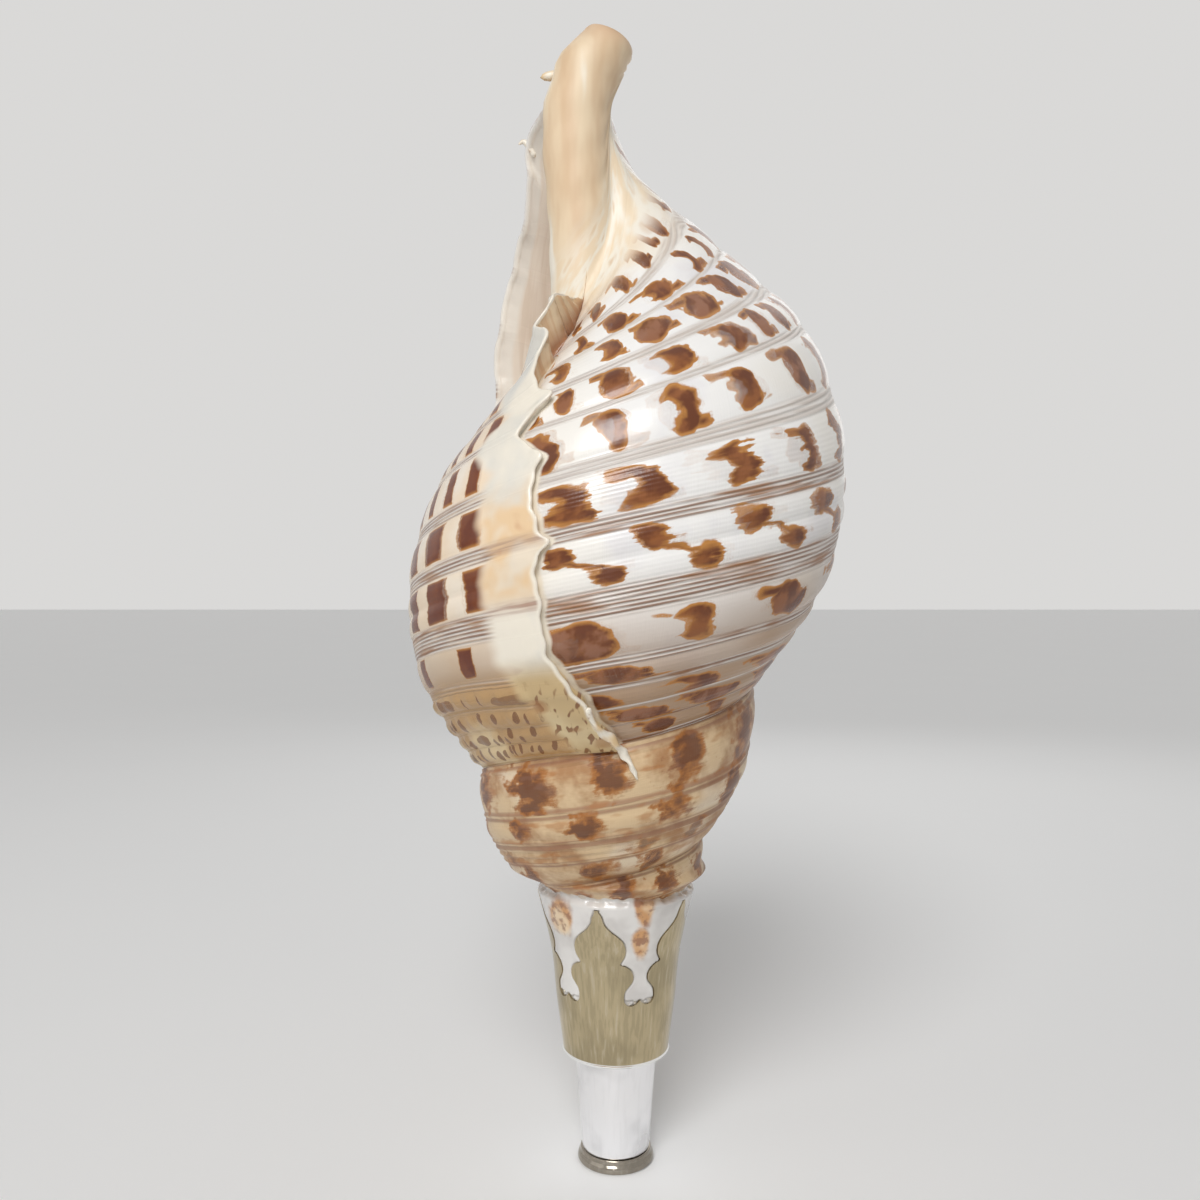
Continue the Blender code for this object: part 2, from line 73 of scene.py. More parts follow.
# %% Camera
CAMERA_DISTANCE, CAMERA_HEIGHT = 0.426, 0.2307
camera_data = bpy.data.cameras.new("camera")
camera_data.lens = 32.52
camera_data.sensor_width = 36.0
camera_data.shift_y = -20.0 / 1200.0
camera = bpy.data.objects.new("camera", camera_data)
camera.location = (AXIS_X + 0.0004, AXIS_Y - CAMERA_DISTANCE, FLOOR + CAMERA_HEIGHT)
camera.rotation_euler = (math.radians(90.0), 0.0, 0.0)
bpy.context.scene.collection.objects.link(camera)
bpy.context.scene.camera = camera
print("camera stands", CAMERA_DISTANCE, "m in front of the shell's axis")

# %% [markdown]
# ## How a shell grows
#
# A shell grows only at its lip, and each turn is a scaled copy of the one before. So a point
# on it has two numbers: the angle of growth, and the height in the section at that angle. The
# section is given once, in multiples of a size that grows by a fixed ratio each turn. Angle 0
# is the lip's edge and older shell has negative angles. This is a better start than
# sculpting, because every groove and every mark of colour follows these two numbers.

# %% The growth law
RATIO = 1.769
SIZE_AT_LIP = 0.1692
APEX_Z = 0.0503
LIP_AZIMUTH = 115.5
RIB_AZIMUTH = -222.0  # the lip of an earlier pause, now a rib across the back
SECTION_END = 2.5


def smooth_table(table, at):
    """A smooth curve through a table's points."""
    known = np.array([row[0] for row in table], float)
    value = np.array([row[1] for row in table], float)
    slope = np.gradient(value, known)
    at = np.clip(np.asarray(at, float), known[0], known[-1])
    place = np.clip(np.searchsorted(known, at, side="right") - 1, 0, len(known) - 2)
    width = known[place + 1] - known[place]
    t = (at - known[place]) / width
    low, high = value[place], value[place + 1]
    bend = slope[place] * (1 - t) - slope[place + 1] * t
    return low * (1 + 2 * t) * (1 - t) ** 2 + high * t * t * (3 - 2 * t) + width * t * (1 - t) * bend


def ease(t):
    """Rises smoothly from 0 to 1."""
    t = np.clip(t, 0.0, 1.0)
    return t * t * (3 - 2 * t)


def size_at(angle):
    """The length that every size in the section is a multiple of."""
    return SIZE_AT_LIP * RATIO ** (np.asarray(angle, float) / 360.0)


for turns in range(4):
    print(turns, "turns back the size is", round(float(size_at(-360.0 * turns)) * 1000, 1), "mm")

# %% [markdown]
# The section is a swollen curve that narrows to the canal. Older turns are a little broader,
# and the space between one seam and the next is all that shows of them.

# %% The section
BODY = (
    (1.0, 0.42), (1.04, 0.452), (1.10, 0.495), (1.21, 0.578), (1.37, 0.650), (1.54, 0.675), (1.70, 0.668),
    (1.85, 0.63), (2.03, 0.545), (2.18, 0.41), (2.30, 0.28), (2.39, 0.16), (2.50, 0.02), (2.62, -0.12),
)
SPIRE = (
    (1.0, 0.42), (1.04, 0.475), (1.10, 0.55), (1.23, 0.645), (1.34, 0.700), (1.55, 0.745), (1.769, 0.743),
    (1.90, 0.66), (2.03, 0.56), (2.18, 0.41), (2.30, 0.28), (2.39, 0.16), (2.50, 0.02), (2.62, -0.12),
)
SWELL, SWELL_ANGLE, SWELL_WIDTH = 0.20, -825.0, 62.0
# the last turn draws in under the canal, but not near the lip
DRAWN_IN = (
    (1.9, 0.0), (2.03, 0.010), (2.157, 0.038), (2.255, 0.052), (2.352, 0.066), (2.45, 0.050), (2.62, 0.0),
)
DRAWN_FROM, DRAWN_OVER = -8.0, 38.0
DRAWN_MORE, DRAWN_ANGLE, DRAWN_WIDTH = 2.0, -66.0, 33.0
# at the lip the section stays full and then drops across to the canal
LIP_DROP = (
    (2.15, 0.0), (2.22, 0.0), (2.26, 0.08), (2.30, 0.22), (2.34, 0.24), (2.39, 0.17), (2.5, 0.05),
    (2.62, 0.0),
)
CROWD_FROM, CROWD_TO = 0.425, 0.442  # heights above the floor between which the top is pressed together
SEAM_RADIUS, SEAM_FADE = BODY[0][1], 0.09


def swelling(angle):
    """One side of an old turn is fuller than the rest."""
    return 1 + SWELL * np.exp(-(((angle - SWELL_ANGLE) / SWELL_WIDTH) ** 2))


def section_radius(angle, height):
    """The section's radius. It starts on the seam, where the turn before goes under."""
    body = ease((angle + 450.0) / 130.0)
    radius = smooth_table(BODY, height) * body + smooth_table(SPIRE, height) * (1 - body)
    before = ease((angle + 90.0) / 130.0)
    seam = smooth_table(BODY, RATIO) * before + smooth_table(SPIRE, RATIO) * (1 - before)
    start = seam / RATIO * swelling(angle - 360.0) - SEAM_RADIUS * swelling(angle)
    more = 1 + DRAWN_MORE * np.exp(-(((angle - DRAWN_ANGLE) / DRAWN_WIDTH) ** 2))
    drawn = smooth_table(DRAWN_IN, height) * more * ease((DRAWN_FROM - angle) / DRAWN_OVER) * body
    drawn = drawn + smooth_table(LIP_DROP, height) * ease((angle + 42.0) / 34.0)
    return radius * swelling(angle) - drawn + start * np.exp(-(height - 1.0) / SEAM_FADE)


def squeezed(z):
    """The top of the last turn is pressed under the canal's mouth."""
    room = CROWD_TO - CROWD_FROM
    pressed = CROWD_FROM + room * (1 - np.exp(-np.maximum(z - CROWD_FROM, 0.0) / room))
    return np.where(z > CROWD_FROM, pressed, z)


widest = float(size_at(0.0) * section_radius(0.0, 1.54))
print("the widest of the last turn is", round(widest * 1000), "mm from the axis")

# %% [markdown]
# The canal is a tube that the last turn is wrapped round. It bends at its tip, and it has an
# open channel on the side of the shell's mouth. Turn and tube meet in a soft hollow.

# %% The canal
CANAL_X = (
    (0.25, -0.0070), (0.36, -0.0070), (0.375, -0.0076), (0.392, -0.0091), (0.41, -0.0094), (0.42, -0.0081),
    (0.4257, -0.0061), (0.4355, -0.0024), (0.4394, 0.0), (0.450, 0.0042),
)
CANAL_Y = ((0.25, 0.0), (0.40, 0.0005), (0.43, 0.0022), (0.440, 0.0036), (0.450, 0.0055))
CANAL_RADIUS = (
    (0.25, 0.0128), (0.41, 0.0132), (0.4257, 0.0136), (0.434, 0.0142), (0.4394, 0.0135), (0.4435, 0.0122),
    (0.4475, 0.0102), (0.452, 0.0085),
)
CANAL_TOP, CANAL_TILT_X, CANAL_TILT_Y = 0.4432, 0.00325, 0.00182  # the mouth's height and how far it slants
CANAL_BLEND = 0.016
CHANNEL_DEPTH = 0.55


def canal_radius(angle, z):
    """The canal's radius, measured from the shell's axis."""
    way = np.radians(angle + LIP_AZIMUTH)
    x, y, radius = smooth_table(CANAL_X, z), smooth_table(CANAL_Y, z), smooth_table(CANAL_RADIUS, z)
    along = x * np.cos(way) + y * np.sin(way)
    open_side = 1 - ease((angle + 330.0) / 46.0)
    radius = radius * (1 - CHANNEL_DEPTH * open_side * ease((z - 0.30) / 0.06))
    return along + np.sqrt(np.maximum(radius ** 2 - (x * x + y * y - along ** 2), 1e-6))


def joined(a, b, reach):
    """The larger of two radii, with a soft hollow where they meet."""
    near = np.maximum(reach - np.abs(a - b), 0.0) / reach
    return np.maximum(a, b) + near * near * reach * 0.25


def plain_section(angle, height):
    """Radius and height above the floor, before any cord or flare."""
    size = size_at(angle)
    z = squeezed(APEX_Z + size * height)
    return joined(size * section_radius(angle, height), canal_radius(angle, z), CANAL_BLEND), z


def canal_run(angle, share):
    """Radius and height up the canal: 0 is where the section ends and 1 is the canal's mouth."""
    start = squeezed(APEX_Z + size_at(angle) * SECTION_END)
    way = np.radians(angle + LIP_AZIMUTH)
    end = CANAL_TOP - (CANAL_TILT_X * np.cos(way) + CANAL_TILT_Y * np.sin(way))
    end = np.maximum(end, start + 0.001)
    z = start + (end - start) * share
    r0, z0 = plain_section(angle, SECTION_END)
    return canal_radius(angle, z) + (r0 - canal_radius(angle, z0)) * (1 - share) ** 6, z


print("the canal is", round(float(smooth_table(CANAL_RADIUS, 0.40)) * 2000), "mm across")

# %% [markdown]
# The end of the spire is ground down to go inside the metal sleeve. Up to the top of the
# plaster its radius about the mouthpiece's axis is held to what the sleeve leaves.

# %% From angle, radius and height to a place
SLEEVE_OUTER = ((0.0440, 0.0208), (0.0665, 0.0238), (0.0822, 0.0254), (0.1020, 0.0298), (0.1072, 0.0312))
SLEEVE_TOP = SLEEVE_OUTER[-1][0]
BEND, BEND_FROM, BEND_LENGTH = 0.006, 0.165, 0.06
GROUND_IN, GROUND_TOP, GROUND_RISE = 0.0036, 0.107, 120.0
PACKED_TO = 0.121


def sleeve_radius(z):
    """The sleeve's outer radius at a height above the floor."""
    return smooth_table(SLEEVE_OUTER, z)


def around(angle, radius, z):
    """A point about the shell's axis, bent back and ground where the sleeve takes it."""
    way = np.radians(np.asarray(angle, float) + LIP_AZIMUTH)
    bend = BEND * ease((BEND_FROM - z) / BEND_LENGTH)
    x, y = radius * np.cos(way) - MOUTH_X, radius * np.sin(way) + bend - MOUTH_Y
    room = sleeve_radius(z) - GROUND_IN + GROUND_RISE * np.maximum(z - GROUND_TOP, 0.0) ** 2
    share = room / np.maximum(np.hypot(x, y), 1e-6)
    packed = 1 + (np.clip(share, 1.0, 1.15) - 1) * ease((PACKED_TO - z) / 0.009)
    ground = np.where(share < 1, share, packed)
    place = [MOUTH_X + x * ground + AXIS_X, MOUTH_Y + y * ground + AXIS_Y, z + 0 * radius + FLOOR]
    return np.stack(np.broadcast_arrays(*place), axis=-1)


print("a point on the lip:", around(0.0, *plain_section(0.0, 1.54)).round(3))

# %% [markdown]
# ## Cords and grooves
#
# The last turn carries broad flat cords, with bundles of fine threads in the grooves between
# them. Each cord is a height in the section with a half width. The brown marks of the finish
# are read from the same heights later, so that they stay in step.

# %% Cords
CORDS = (
    # middle, half width, crown
    (1.040, 0.026, 0.8), (1.090, 0.024, 0.9), (1.145, 0.028, 1.0), (1.215, 0.026, 0.9), (1.320, 0.055, 1.0),
    (1.485, 0.032, 0.8), (1.560, 0.034, 0.8), (1.700, 0.062, 1.0), (1.868, 0.066, 1.0), (1.998, 0.044, 0.8),
    (2.110, 0.044, 0.9), (2.200, 0.036, 0.8), (2.300, 0.040, 0.8), (2.390, 0.026, 0.6),
)
RELIEF = 0.0085  # a cord's rise, as a share of the size
DRIFT, DRIFT_ZERO, DRIFT_ANGLE, DRIFT_WIDTH = 0.0010, -195.0, -165.0, 60.0


def cord_height(angle, height):
    """The height that the cords are read at: on the front of the last turn they climb a little."""
    near = np.exp(-(((angle - DRIFT_ANGLE) / DRIFT_WIDTH) ** 2)) * ease((height - 1.65) / 0.3)
    return height - DRIFT * (angle - DRIFT_ZERO) * near


OLD_CORDS = ((1.08, 0.060, 1.3), (1.37, 0.062, 1.5), (1.60, 0.115, 1.6))  # the same on the spire
OLD_THREAD = 0.042  # from ridge to ridge there
SPIRE_FROM = -362.0


def threads(read, spacing, rise):
    """Fine even ridges between the cords."""
    return rise * (1 + np.cos(read * 2 * np.pi / spacing))


def rounded_cord(read, middle, half, crown, power):
    """One cord's section: 0 at its sides and full on its crown."""
    return crown * (1 - np.clip(np.abs(read - middle) / half, 0.0, 1.0) ** power)


def relief(angle, height):
    """How far the cords stand out, from 0 in a groove to 1 on a crown."""
    read = cord_height(angle, height)
    out, old = threads(read, 0.0236, 0.08), threads(read, OLD_THREAD, 0.55)
    for middle, half, crown in CORDS:
        out = np.maximum(out, rounded_cord(read, middle, half, crown, 3.0))
    for middle, half, crown in OLD_CORDS:
        old = np.maximum(old * (np.abs(read - middle) >= half), rounded_cord(read, middle, half, crown, 2.0))
    on_spire = ease((SPIRE_FROM - angle) / 14.0)
    return out * (1 - on_spire) + old * on_spire


broadest = max(half for middle, half, crown in CORDS) * 2 * SIZE_AT_LIP
print(len(CORDS), "cords on each turn, the broadest", round(broadest * 1000), "mm")

# %% [markdown]
# ## The rib and the lip
#
# The lip flares out and rolls over. An earlier lip stays as a rib with a thin wavy edge, and
# the next turn starts from under it. Its edge isn't upright: it runs ahead near the seam and
# lags at the top, where it stands free like an ear. The edge juts out at each groove.

# %% Edges and flares
LIP_REACH = (
    (1.0, 36.0), (1.08, 26.0), (1.18, 17.0), (1.32, 6.0), (1.5, 0.0), (1.75, -0.5), (2.0, -2.5), (2.1, -2.2),
    (2.2, 1.0), (2.3, 4.0), (2.5, 4.0),
)
RIB_REACH = (
    (1.0, 25.0), (1.10, 16.2), (1.167, 12.8), (1.22, 9.4), (1.28, 5.6), (1.36, 3.6), (1.5, 2.8), (1.7, 1.6),
    (1.9, -0.6), (2.05, -2.6), (2.15, -6.2), (2.25, -9.8), (2.32, -11.0), (2.38, -10.0), (2.44, -7.0),
    (2.5, -4.0),
)
RIB_FLARE = (
    (1.0, 0.004), (1.1, 0.0055), (1.3, 0.0035), (1.6, 0.003), (1.9, 0.003), (2.05, 0.0045), (2.15, 0.009),
    (2.25, 0.0155), (2.33, 0.0180), (2.37, 0.0160), (2.39, 0.0132), (2.405, 0.0100), (2.42, 0.0068),
    (2.435, 0.0024), (2.45, 0.0004), (2.5, 0.0),
)
LIP_FLARE = (
    (1.0, 0.002), (1.1, 0.004), (1.3, 0.005), (1.8, 0.005), (1.92, 0.0045), (2.0, 0.0025), (2.1, 0.0006),
    (2.19, 0.0045), (2.26, 0.004), (2.34, 0.001), (2.5, 0.0),
)
FLARE_LENGTH = 46.0  # degrees of growth over which a flare rises
BAND_BACK, BAND_FADE = -17.0, 5.0  # the rib's smooth band: where it starts behind the edge, and how fast
JUTS = (
    # height, degrees, half width
    (1.430, 0.9, 0.022), (1.603, 3.6, 0.020), (1.640, 1.2, 0.03), (1.835, 3.2, 0.030), (2.008, 5.4, 0.028),
    (2.185, 3.2, 0.026), (1.925, -3.4, 0.045), (2.10, -1.6, 0.03), (2.238, -4.5, 0.020), (2.288, 2.2, 0.016),
    (2.325, -1.5, 0.016),
)


def edge_wave(height):
    """How far the rib's edge juts ahead at the grooves, in degrees, with a fine ripple."""
    out = 0.35 * np.sin(height * 61.0) + 0.25 * np.sin(height * 113.0 + 1.0)
    for middle, reach, half in JUTS:
        out = out + reach * np.exp(-(((height - middle) / half) ** 2))
    return out * ease((2.46 - height) / 0.12)


def rib_reach(height):
    """The rib's edge, in degrees ahead of its azimuth."""
    return smooth_table(RIB_REACH, height) + edge_wave(height)


def lip_reach(height):
    """The lip's edge, with a low scallop between cords."""
    scallop = 0.25 * relief(-20.0, height) * ease((2.42 - height) / 0.2)
    return smooth_table(LIP_REACH, height) + scallop


def flare(angle, height):
    """How far the rib and the lip stand out from the plain section."""
    from_rib = angle - RIB_AZIMUTH - rib_reach(height)
    from_lip = angle - smooth_table(LIP_REACH, height)
    at_rib = np.clip(1 + from_rib / FLARE_LENGTH, 0, 1) ** 2.2 * (from_rib <= 0.01)
    at_lip = np.clip(1 + from_lip / FLARE_LENGTH, 0, 1) ** 1.6
    return smooth_table(RIB_FLARE, height) * at_rib + smooth_table(LIP_FLARE, height) * at_lip


rib_slant = float(rib_reach(1.0) - rib_reach(2.3))
print("the rib's edge at the seam is", round(rib_slant), "degrees ahead of its top")

# %% [markdown]
# ## Points of the skin
#
# A point is found on the plain section, then moved out along the section's own normal by the
# flare and the cords. The smooth band behind the rib's edge has no cords on it.

# %% Points of the skin
def skin_frame(angle, height):
    """Radius and height on the plain skin, and the outward direction in the plane through the axis."""
    radius, z = plain_section(angle, height)
    (r_up, z_up), (r_down, z_down) = (plain_section(angle, height + step) for step in (0.004, -0.004))
    dr, dz = r_up - r_down, z_up - z_down
    length = np.hypot(dr, dz)
    return radius, z, dz / length, -dr / length


def cord_rise(angle, height):
    """The cords in metres. They fade on the rib's smooth band, at the seam and on the canal."""
    from_rib = angle - RIB_AZIMUTH - smooth_table(RIB_REACH, height)
    band = ease((from_rib - BAND_BACK) / BAND_FADE) * (from_rib < 0.5)
    fade = (1 - 0.85 * band) * ease((2.47 - height) / 0.12)
    fade = fade * (0.35 + 0.65 * ease((height - 1.0) / 0.03))
    knobs = 0.25 * np.sin(np.radians(angle * 9.0)) * np.exp(-(((height - 1.22) / 0.16) ** 2))
    cords = relief(angle, height)
    beads = 0.9 * np.maximum(np.sin(np.radians(angle * 52.0 + height * 900.0)), 0.0)
    beads = beads * ease((1.27 - height) / 0.04) * ease((-from_rib - 12.0) / 4.0) * (angle > SPIRE_FROM)
    return size_at(angle) * RELIEF * (cords * (1 + beads) + knobs) * fade


def lifted(angle, height, lift):
    """A point standing off the plain section."""
    radius, z, nr, nz = skin_frame(angle, height)
    return around(angle, radius + lift * nr, z + lift * nz)


def canal_skin(angle, share):
    """A point on the canal, whose skin is faintly rippled."""
    radius, z = canal_run(angle, share)
    ripple = 0.00035 * np.sin(share * 40.0 + np.radians(angle) * 2.0) * ease(share * 3.0)
    return around(angle, radius + ripple, z)


print("a cord rises", round(float(cord_rise(-170.0, 1.32)) * 1000, 2), "mm")

# %% [markdown]
# ## One woven skin
#
# The shell is one closed skin: columns of points up the section, side by side along the growth.
# Each turn's seam is the first row of the turn over it, so the two share their points. Every
# corner of every face also keeps its own angle and height for the finish to read, because a
# shared point belongs to two turns at once.

# %% Weave
class Weave:
    """Points and faces of one closed skin, with what each face's corners carry."""

    def __init__(self):
        self.points = np.zeros((0, 3))
        self.quads, self.carried = [], []

    def add(self, places):
        """Adds an array of points and returns their numbers in the same shape."""
        flat = np.asarray(places, float).reshape(-1, 3)
        first = len(self.points)
        self.points = np.concatenate([self.points, flat])
        return np.arange(first, first + len(flat)).reshape(np.asarray(places).shape[:-1])

    def sheet(self, numbers, carried, flip=False):
        """Quads over a grid of points. carried holds one row of values for each point."""
        corners = [(0, 0), (1, 0), (1, 1), (0, 1)]
        corners = corners[::-1] if flip else corners
        wide, high = numbers.shape[0] - 1, numbers.shape[1] - 1
        take = [numbers[a:a + wide, b:b + high].ravel() for a, b in corners]
        keep = [carried[a:a + wide, b:b + high].reshape(-1, carried.shape[-1]) for a, b in corners]
        self.quads.append(np.stack(take, axis=1))
        self.carried.append(np.stack(keep, axis=1))

    def face(self, *corners):
        """One face, each corner given as (number, carried values)."""
        ring = [c for n, c in enumerate(corners) if c[0] != corners[n - 1][0]]
        for n in range(1, len(ring) - 1):
            three = [ring[0], ring[n], ring[n + 1], ring[n + 1]]
            self.quads.append(np.array([[c[0] for c in three]]))
            self.carried.append(np.array([[c[1] for c in three]], float))

    def zip(self, first, second, carried_first, carried_second):
        """Triangles between two chains of different lengths, taking the nearer step each time."""
        along = []
        for chain in (first, second):
            steps = np.linalg.norm(np.diff(self.points[chain], axis=0), axis=1)
            total = np.concatenate([[0.0], np.cumsum(steps)])
            along.append(total / total[-1])
        a = b = 0
        while a < len(first) - 1 or b < len(second) - 1:
            here, over = (first[a], carried_first[a]), (second[b], carried_second[b])
            if b == len(second) - 1 or (a < len(first) - 1 and along[0][a + 1] <= along[1][b + 1]):
                a += 1
                self.face(here, (first[a], carried_first[a]), over)
            else:
                b += 1
                self.face(here, (second[b], carried_second[b]), over)

    def fan(self, chain, carried, middle):
        """Triangles from a ring of points to one in its middle."""
        for n in range(len(chain)):
            self.face((chain[n - 1], carried[n - 1]), (chain[n], carried[n]), (middle, carried[n]))


def make_mesh(weave, name, names_carried):
    """A mesh with smooth faces, and one vector on every corner for each name."""
    quads = np.concatenate(weave.quads)
    carried = np.concatenate(weave.carried)
    for first in (0, 1, 3):  # where two corners share a point, the face is a triangle
        pinched = (quads[:, first] == quads[:, (first + 1) % 4]) & (quads[:, 2] != quads[:, 3])
        quads[pinched] = np.roll(quads[pinched], 2 - first, axis=1)
        carried[pinched] = np.roll(carried[pinched], 2 - first, axis=1)
    three = quads[:, 2] == quads[:, 3]
    counts = np.where(three, 3, 4)
    keep = np.ones(quads.shape, bool)
    keep[three, 3] = False
    mesh = bpy.data.meshes.new(name)
    mesh.vertices.add(len(weave.points))
    mesh.vertices.foreach_set("co", weave.points.ravel())
    mesh.loops.add(int(counts.sum()))
    mesh.loops.foreach_set("vertex_index", quads[keep])
    mesh.polygons.add(len(quads))
    mesh.polygons.foreach_set("loop_start", np.concatenate([[0], np.cumsum(counts)[:-1]]))
    for number, title in enumerate(names_carried):
        values = carried[keep][:, number * 3:number * 3 + 3]
        kept = mesh.attributes.new(title, "FLOAT_VECTOR", "CORNER")
        kept.data.foreach_set("vector", values.ravel())
    mesh.update(calc_edges=True)
    mesh.polygons.foreach_set("use_smooth", np.ones(len(quads), bool))
    return mesh


print("ready to weave")

# %% [markdown]
# ## Columns and rows
#
# Columns lean so that one of them follows the rib's edge and one the lip's edge. At the rib a
# run of columns goes round the thin edge, back beneath it and out again on the next turn's
# skin, which gives a true overhang. It is deepest under the ear.

# %% Columns and rows
STEP = 1.6
RIM_RUN = (
    # degrees ahead of the edge, share of the undercut, share of the flare, share of the edge's thickness
    (-1.6, 0.0, 1.0, 0.0), (-0.9, 0.0, 1.0, 0.0), (-0.3, 0.0, 1.0, 0.08), (0.0, 0.0, 1.0, 0.35),
    (0.02, 0.0, 1.0, 0.7), (-0.2, 0.0, 1.0, 1.0), (-0.3, 0.2, 1.0, 1.15), (-0.3, 0.45, 0.93, 1.1),
    (-0.3, 0.7, 0.8, 0.9), (-0.3, 0.9, 0.6, 0.6), (-0.3, 1.0, 0.38, 0.3), (-0.3, 1.0, 0.17, 0.0),
    (-0.3, 0.9, 0.0, 0.0), (-0.1, 0.6, 0.0, 0.0), (0.5, 0.2, 0.0, 0.0), (1.4, 0.0, 0.0, 0.0),
)
CUP_FIRST, CUP_LAST = 6, 12  # the columns on the inside of the rib's edge
RIM_MIDDLE, RIM_SPACING = 7, 0.17  # the run's middle, and its even spacing on the older turns
EDGE_THICKNESS = 0.0013
FLUTE = 1.3
UNDERCUT = (
    (1.0, 1.2), (1.3, 0.9), (1.9, 0.8), (2.05, 1.2), (2.13, 1.2), (2.22, 0.3), (2.30, -0.8), (2.38, -1.6),
    (2.44, -2.0), (2.5, -0.2),
)
before_rib = np.arange(-360.0, RIB_AZIMUTH - 2.8, STEP)
after_rib = np.arange(RIB_AZIMUTH + 2.9, -0.8, STEP)
COLUMN = np.concatenate([before_rib, np.full(len(RIM_RUN), RIB_AZIMUTH), after_rib, [0.0]])
RIM_PLACE = np.full(len(COLUMN), -1)
RIM_PLACE[len(before_rib):len(before_rib) + len(RIM_RUN)] = np.arange(len(RIM_RUN))
COUNT = len(COLUMN) - 1
LOW_ROWS = np.concatenate([[1.0, 1.005], np.linspace(1.012, RATIO, 78)])
HIGH_ROWS = np.concatenate([np.linspace(RATIO, 2.42, 76)[1:], [2.43, 2.44, 2.45, 2.465, 2.48, SECTION_END]])
ROWS = np.concatenate([LOW_ROWS, HIGH_ROWS])
SEAM = len(LOW_ROWS) - 1
CANAL_ROWS = 26
print(COUNT, "columns to a turn,", len(ROWS), "rows up the last turn and", SEAM + 1, "on the older ones")


def lean(angle, height):
    """How far a column of the last turn leans to follow the rib's edge and the lip's edge."""
    rib = ease(1 - np.abs(angle - RIB_AZIMUTH) / 70.0)
    lip = ease((angle + 70.0) / 70.0)
    return rib_reach(height) * rib + lip_reach(height) * lip


def covered_lean(height):
    """The same for the skin where the next turn lies over it."""
    above = lip_reach(np.maximum(height / RATIO, 1.0))
    below = lip_reach(1.0) * ease((height - 1.0) / (RATIO - 1.0))
    return np.where(height < RATIO, below, above)


def last_turn(height):
    """Angles and lifts of the last turn's points for a row of heights."""
    column, level = np.meshgrid(COLUMN, height, indexing="ij")
    near = ease((-290.0 - column) / 70.0)
    angle = column + lean(column, level) + covered_lean(level) * near
    lift = flare(angle, level) + cord_rise(angle, level)
    stands = smooth_table(RIB_FLARE, height)
    there = ease(stands / 0.0028)
    for number in np.flatnonzero(RIM_PLACE >= 0):
        ahead, back, full, thin = RIM_RUN[RIM_PLACE[number]]
        plain = -1.6 + 3.0 * RIM_PLACE[number] / (len(RIM_RUN) - 1)
        flute = FLUTE * np.sin(height * 2 * np.pi / 0.036) * ease((height - 2.1) / 0.06)
        flute = flute * full * (full < 1.0)
        turn = (ahead - back * smooth_table(UNDERCUT, height) + flute) * there + plain * (1 - there)
        angle[number] = RIB_AZIMUTH + rib_reach(height) + turn
        cords = cord_rise(angle[number], height)
        rise = stands * full - EDGE_THICKNESS * thin + (cords if full == 0.0 or full == 1.0 else 0.0)
        lift[number] = np.maximum(rise, 0.0)
    return angle, lift


def carry(angle, height, inside, canal):
    """What every corner keeps: angle, height and side, degrees from the two edges, place on the canal."""
    angle, height, inside, canal = np.broadcast_arrays(angle, height, inside, canal)
    level = np.minimum(height, SECTION_END)
    from_rib = angle - RIB_AZIMUTH - rib_reach(level)
    from_lip = angle - lip_reach(level)
    return np.stack([angle, height, inside, from_rib, from_lip, canal], axis=-1).astype(float)


# %% [markdown]
# ## The outer skin
#
# The last turn is woven first, then the canal above it, then the older turns down to where
# the plaster hides them.

# %% Outer skin
weave = Weave()
FIRST_ANGLE = -1060.0
angle, lift = last_turn(ROWS)
level = np.broadcast_to(ROWS, angle.shape)
last = weave.add(lifted(angle, level, lift))
in_cup = (RIM_PLACE >= CUP_FIRST) & (RIM_PLACE <= CUP_LAST)
cup_depth = (RIM_PLACE - CUP_FIRST) / (CUP_LAST - CUP_FIRST)
last_carried = carry(angle, level, 0.0, np.where(in_cup, -1.0 - cup_depth, 0.0)[:, None])

share = np.linspace(0.0, 1.0, CANAL_ROWS + 1)[1:]
canal_angle = np.repeat(angle[:, -1:], CANAL_ROWS, axis=1)
canal_share = np.broadcast_to(share, canal_angle.shape)
canal = weave.add(canal_skin(canal_angle, canal_share))
last = np.concatenate([last, canal], axis=1)
canal_carried = carry(canal_angle, SECTION_END + canal_share, 0.0, canal_share)
last_carried = np.concatenate([last_carried, canal_carried], axis=1)

old_numbers = np.arange(-int((-360.0 - FIRST_ANGLE) / 360.0 * COUNT), 0)
turn, place = np.divmod(old_numbers, COUNT)
old_angle = COLUMN[place] + 360.0 * turn
old_angle = old_angle + np.where(RIM_PLACE[place] >= 0, (RIM_PLACE[place] - RIM_MIDDLE) * RIM_SPACING, 0.0)
seam_lean = lean(COLUMN, 1.0)
moved = np.where(old_numbers + COUNT >= 0, seam_lean[np.clip(old_numbers + COUNT, 0, COUNT)], 0.0)
old_level = np.broadcast_to(LOW_ROWS, (len(old_numbers), len(LOW_ROWS)))
leaned = old_angle[:, None] + moved[:, None] * ease((old_level - 1.0) / (RATIO - 1.0))
old = weave.add(lifted(leaned, old_level, cord_rise(leaned, old_level)))
old_carried = carry(leaned, old_level, 0.0, 0.0)
print(len(weave.points), "points on the outer skin")

# %% [markdown]
# The seam is where the top of one turn is the start of the next, so the two share points.

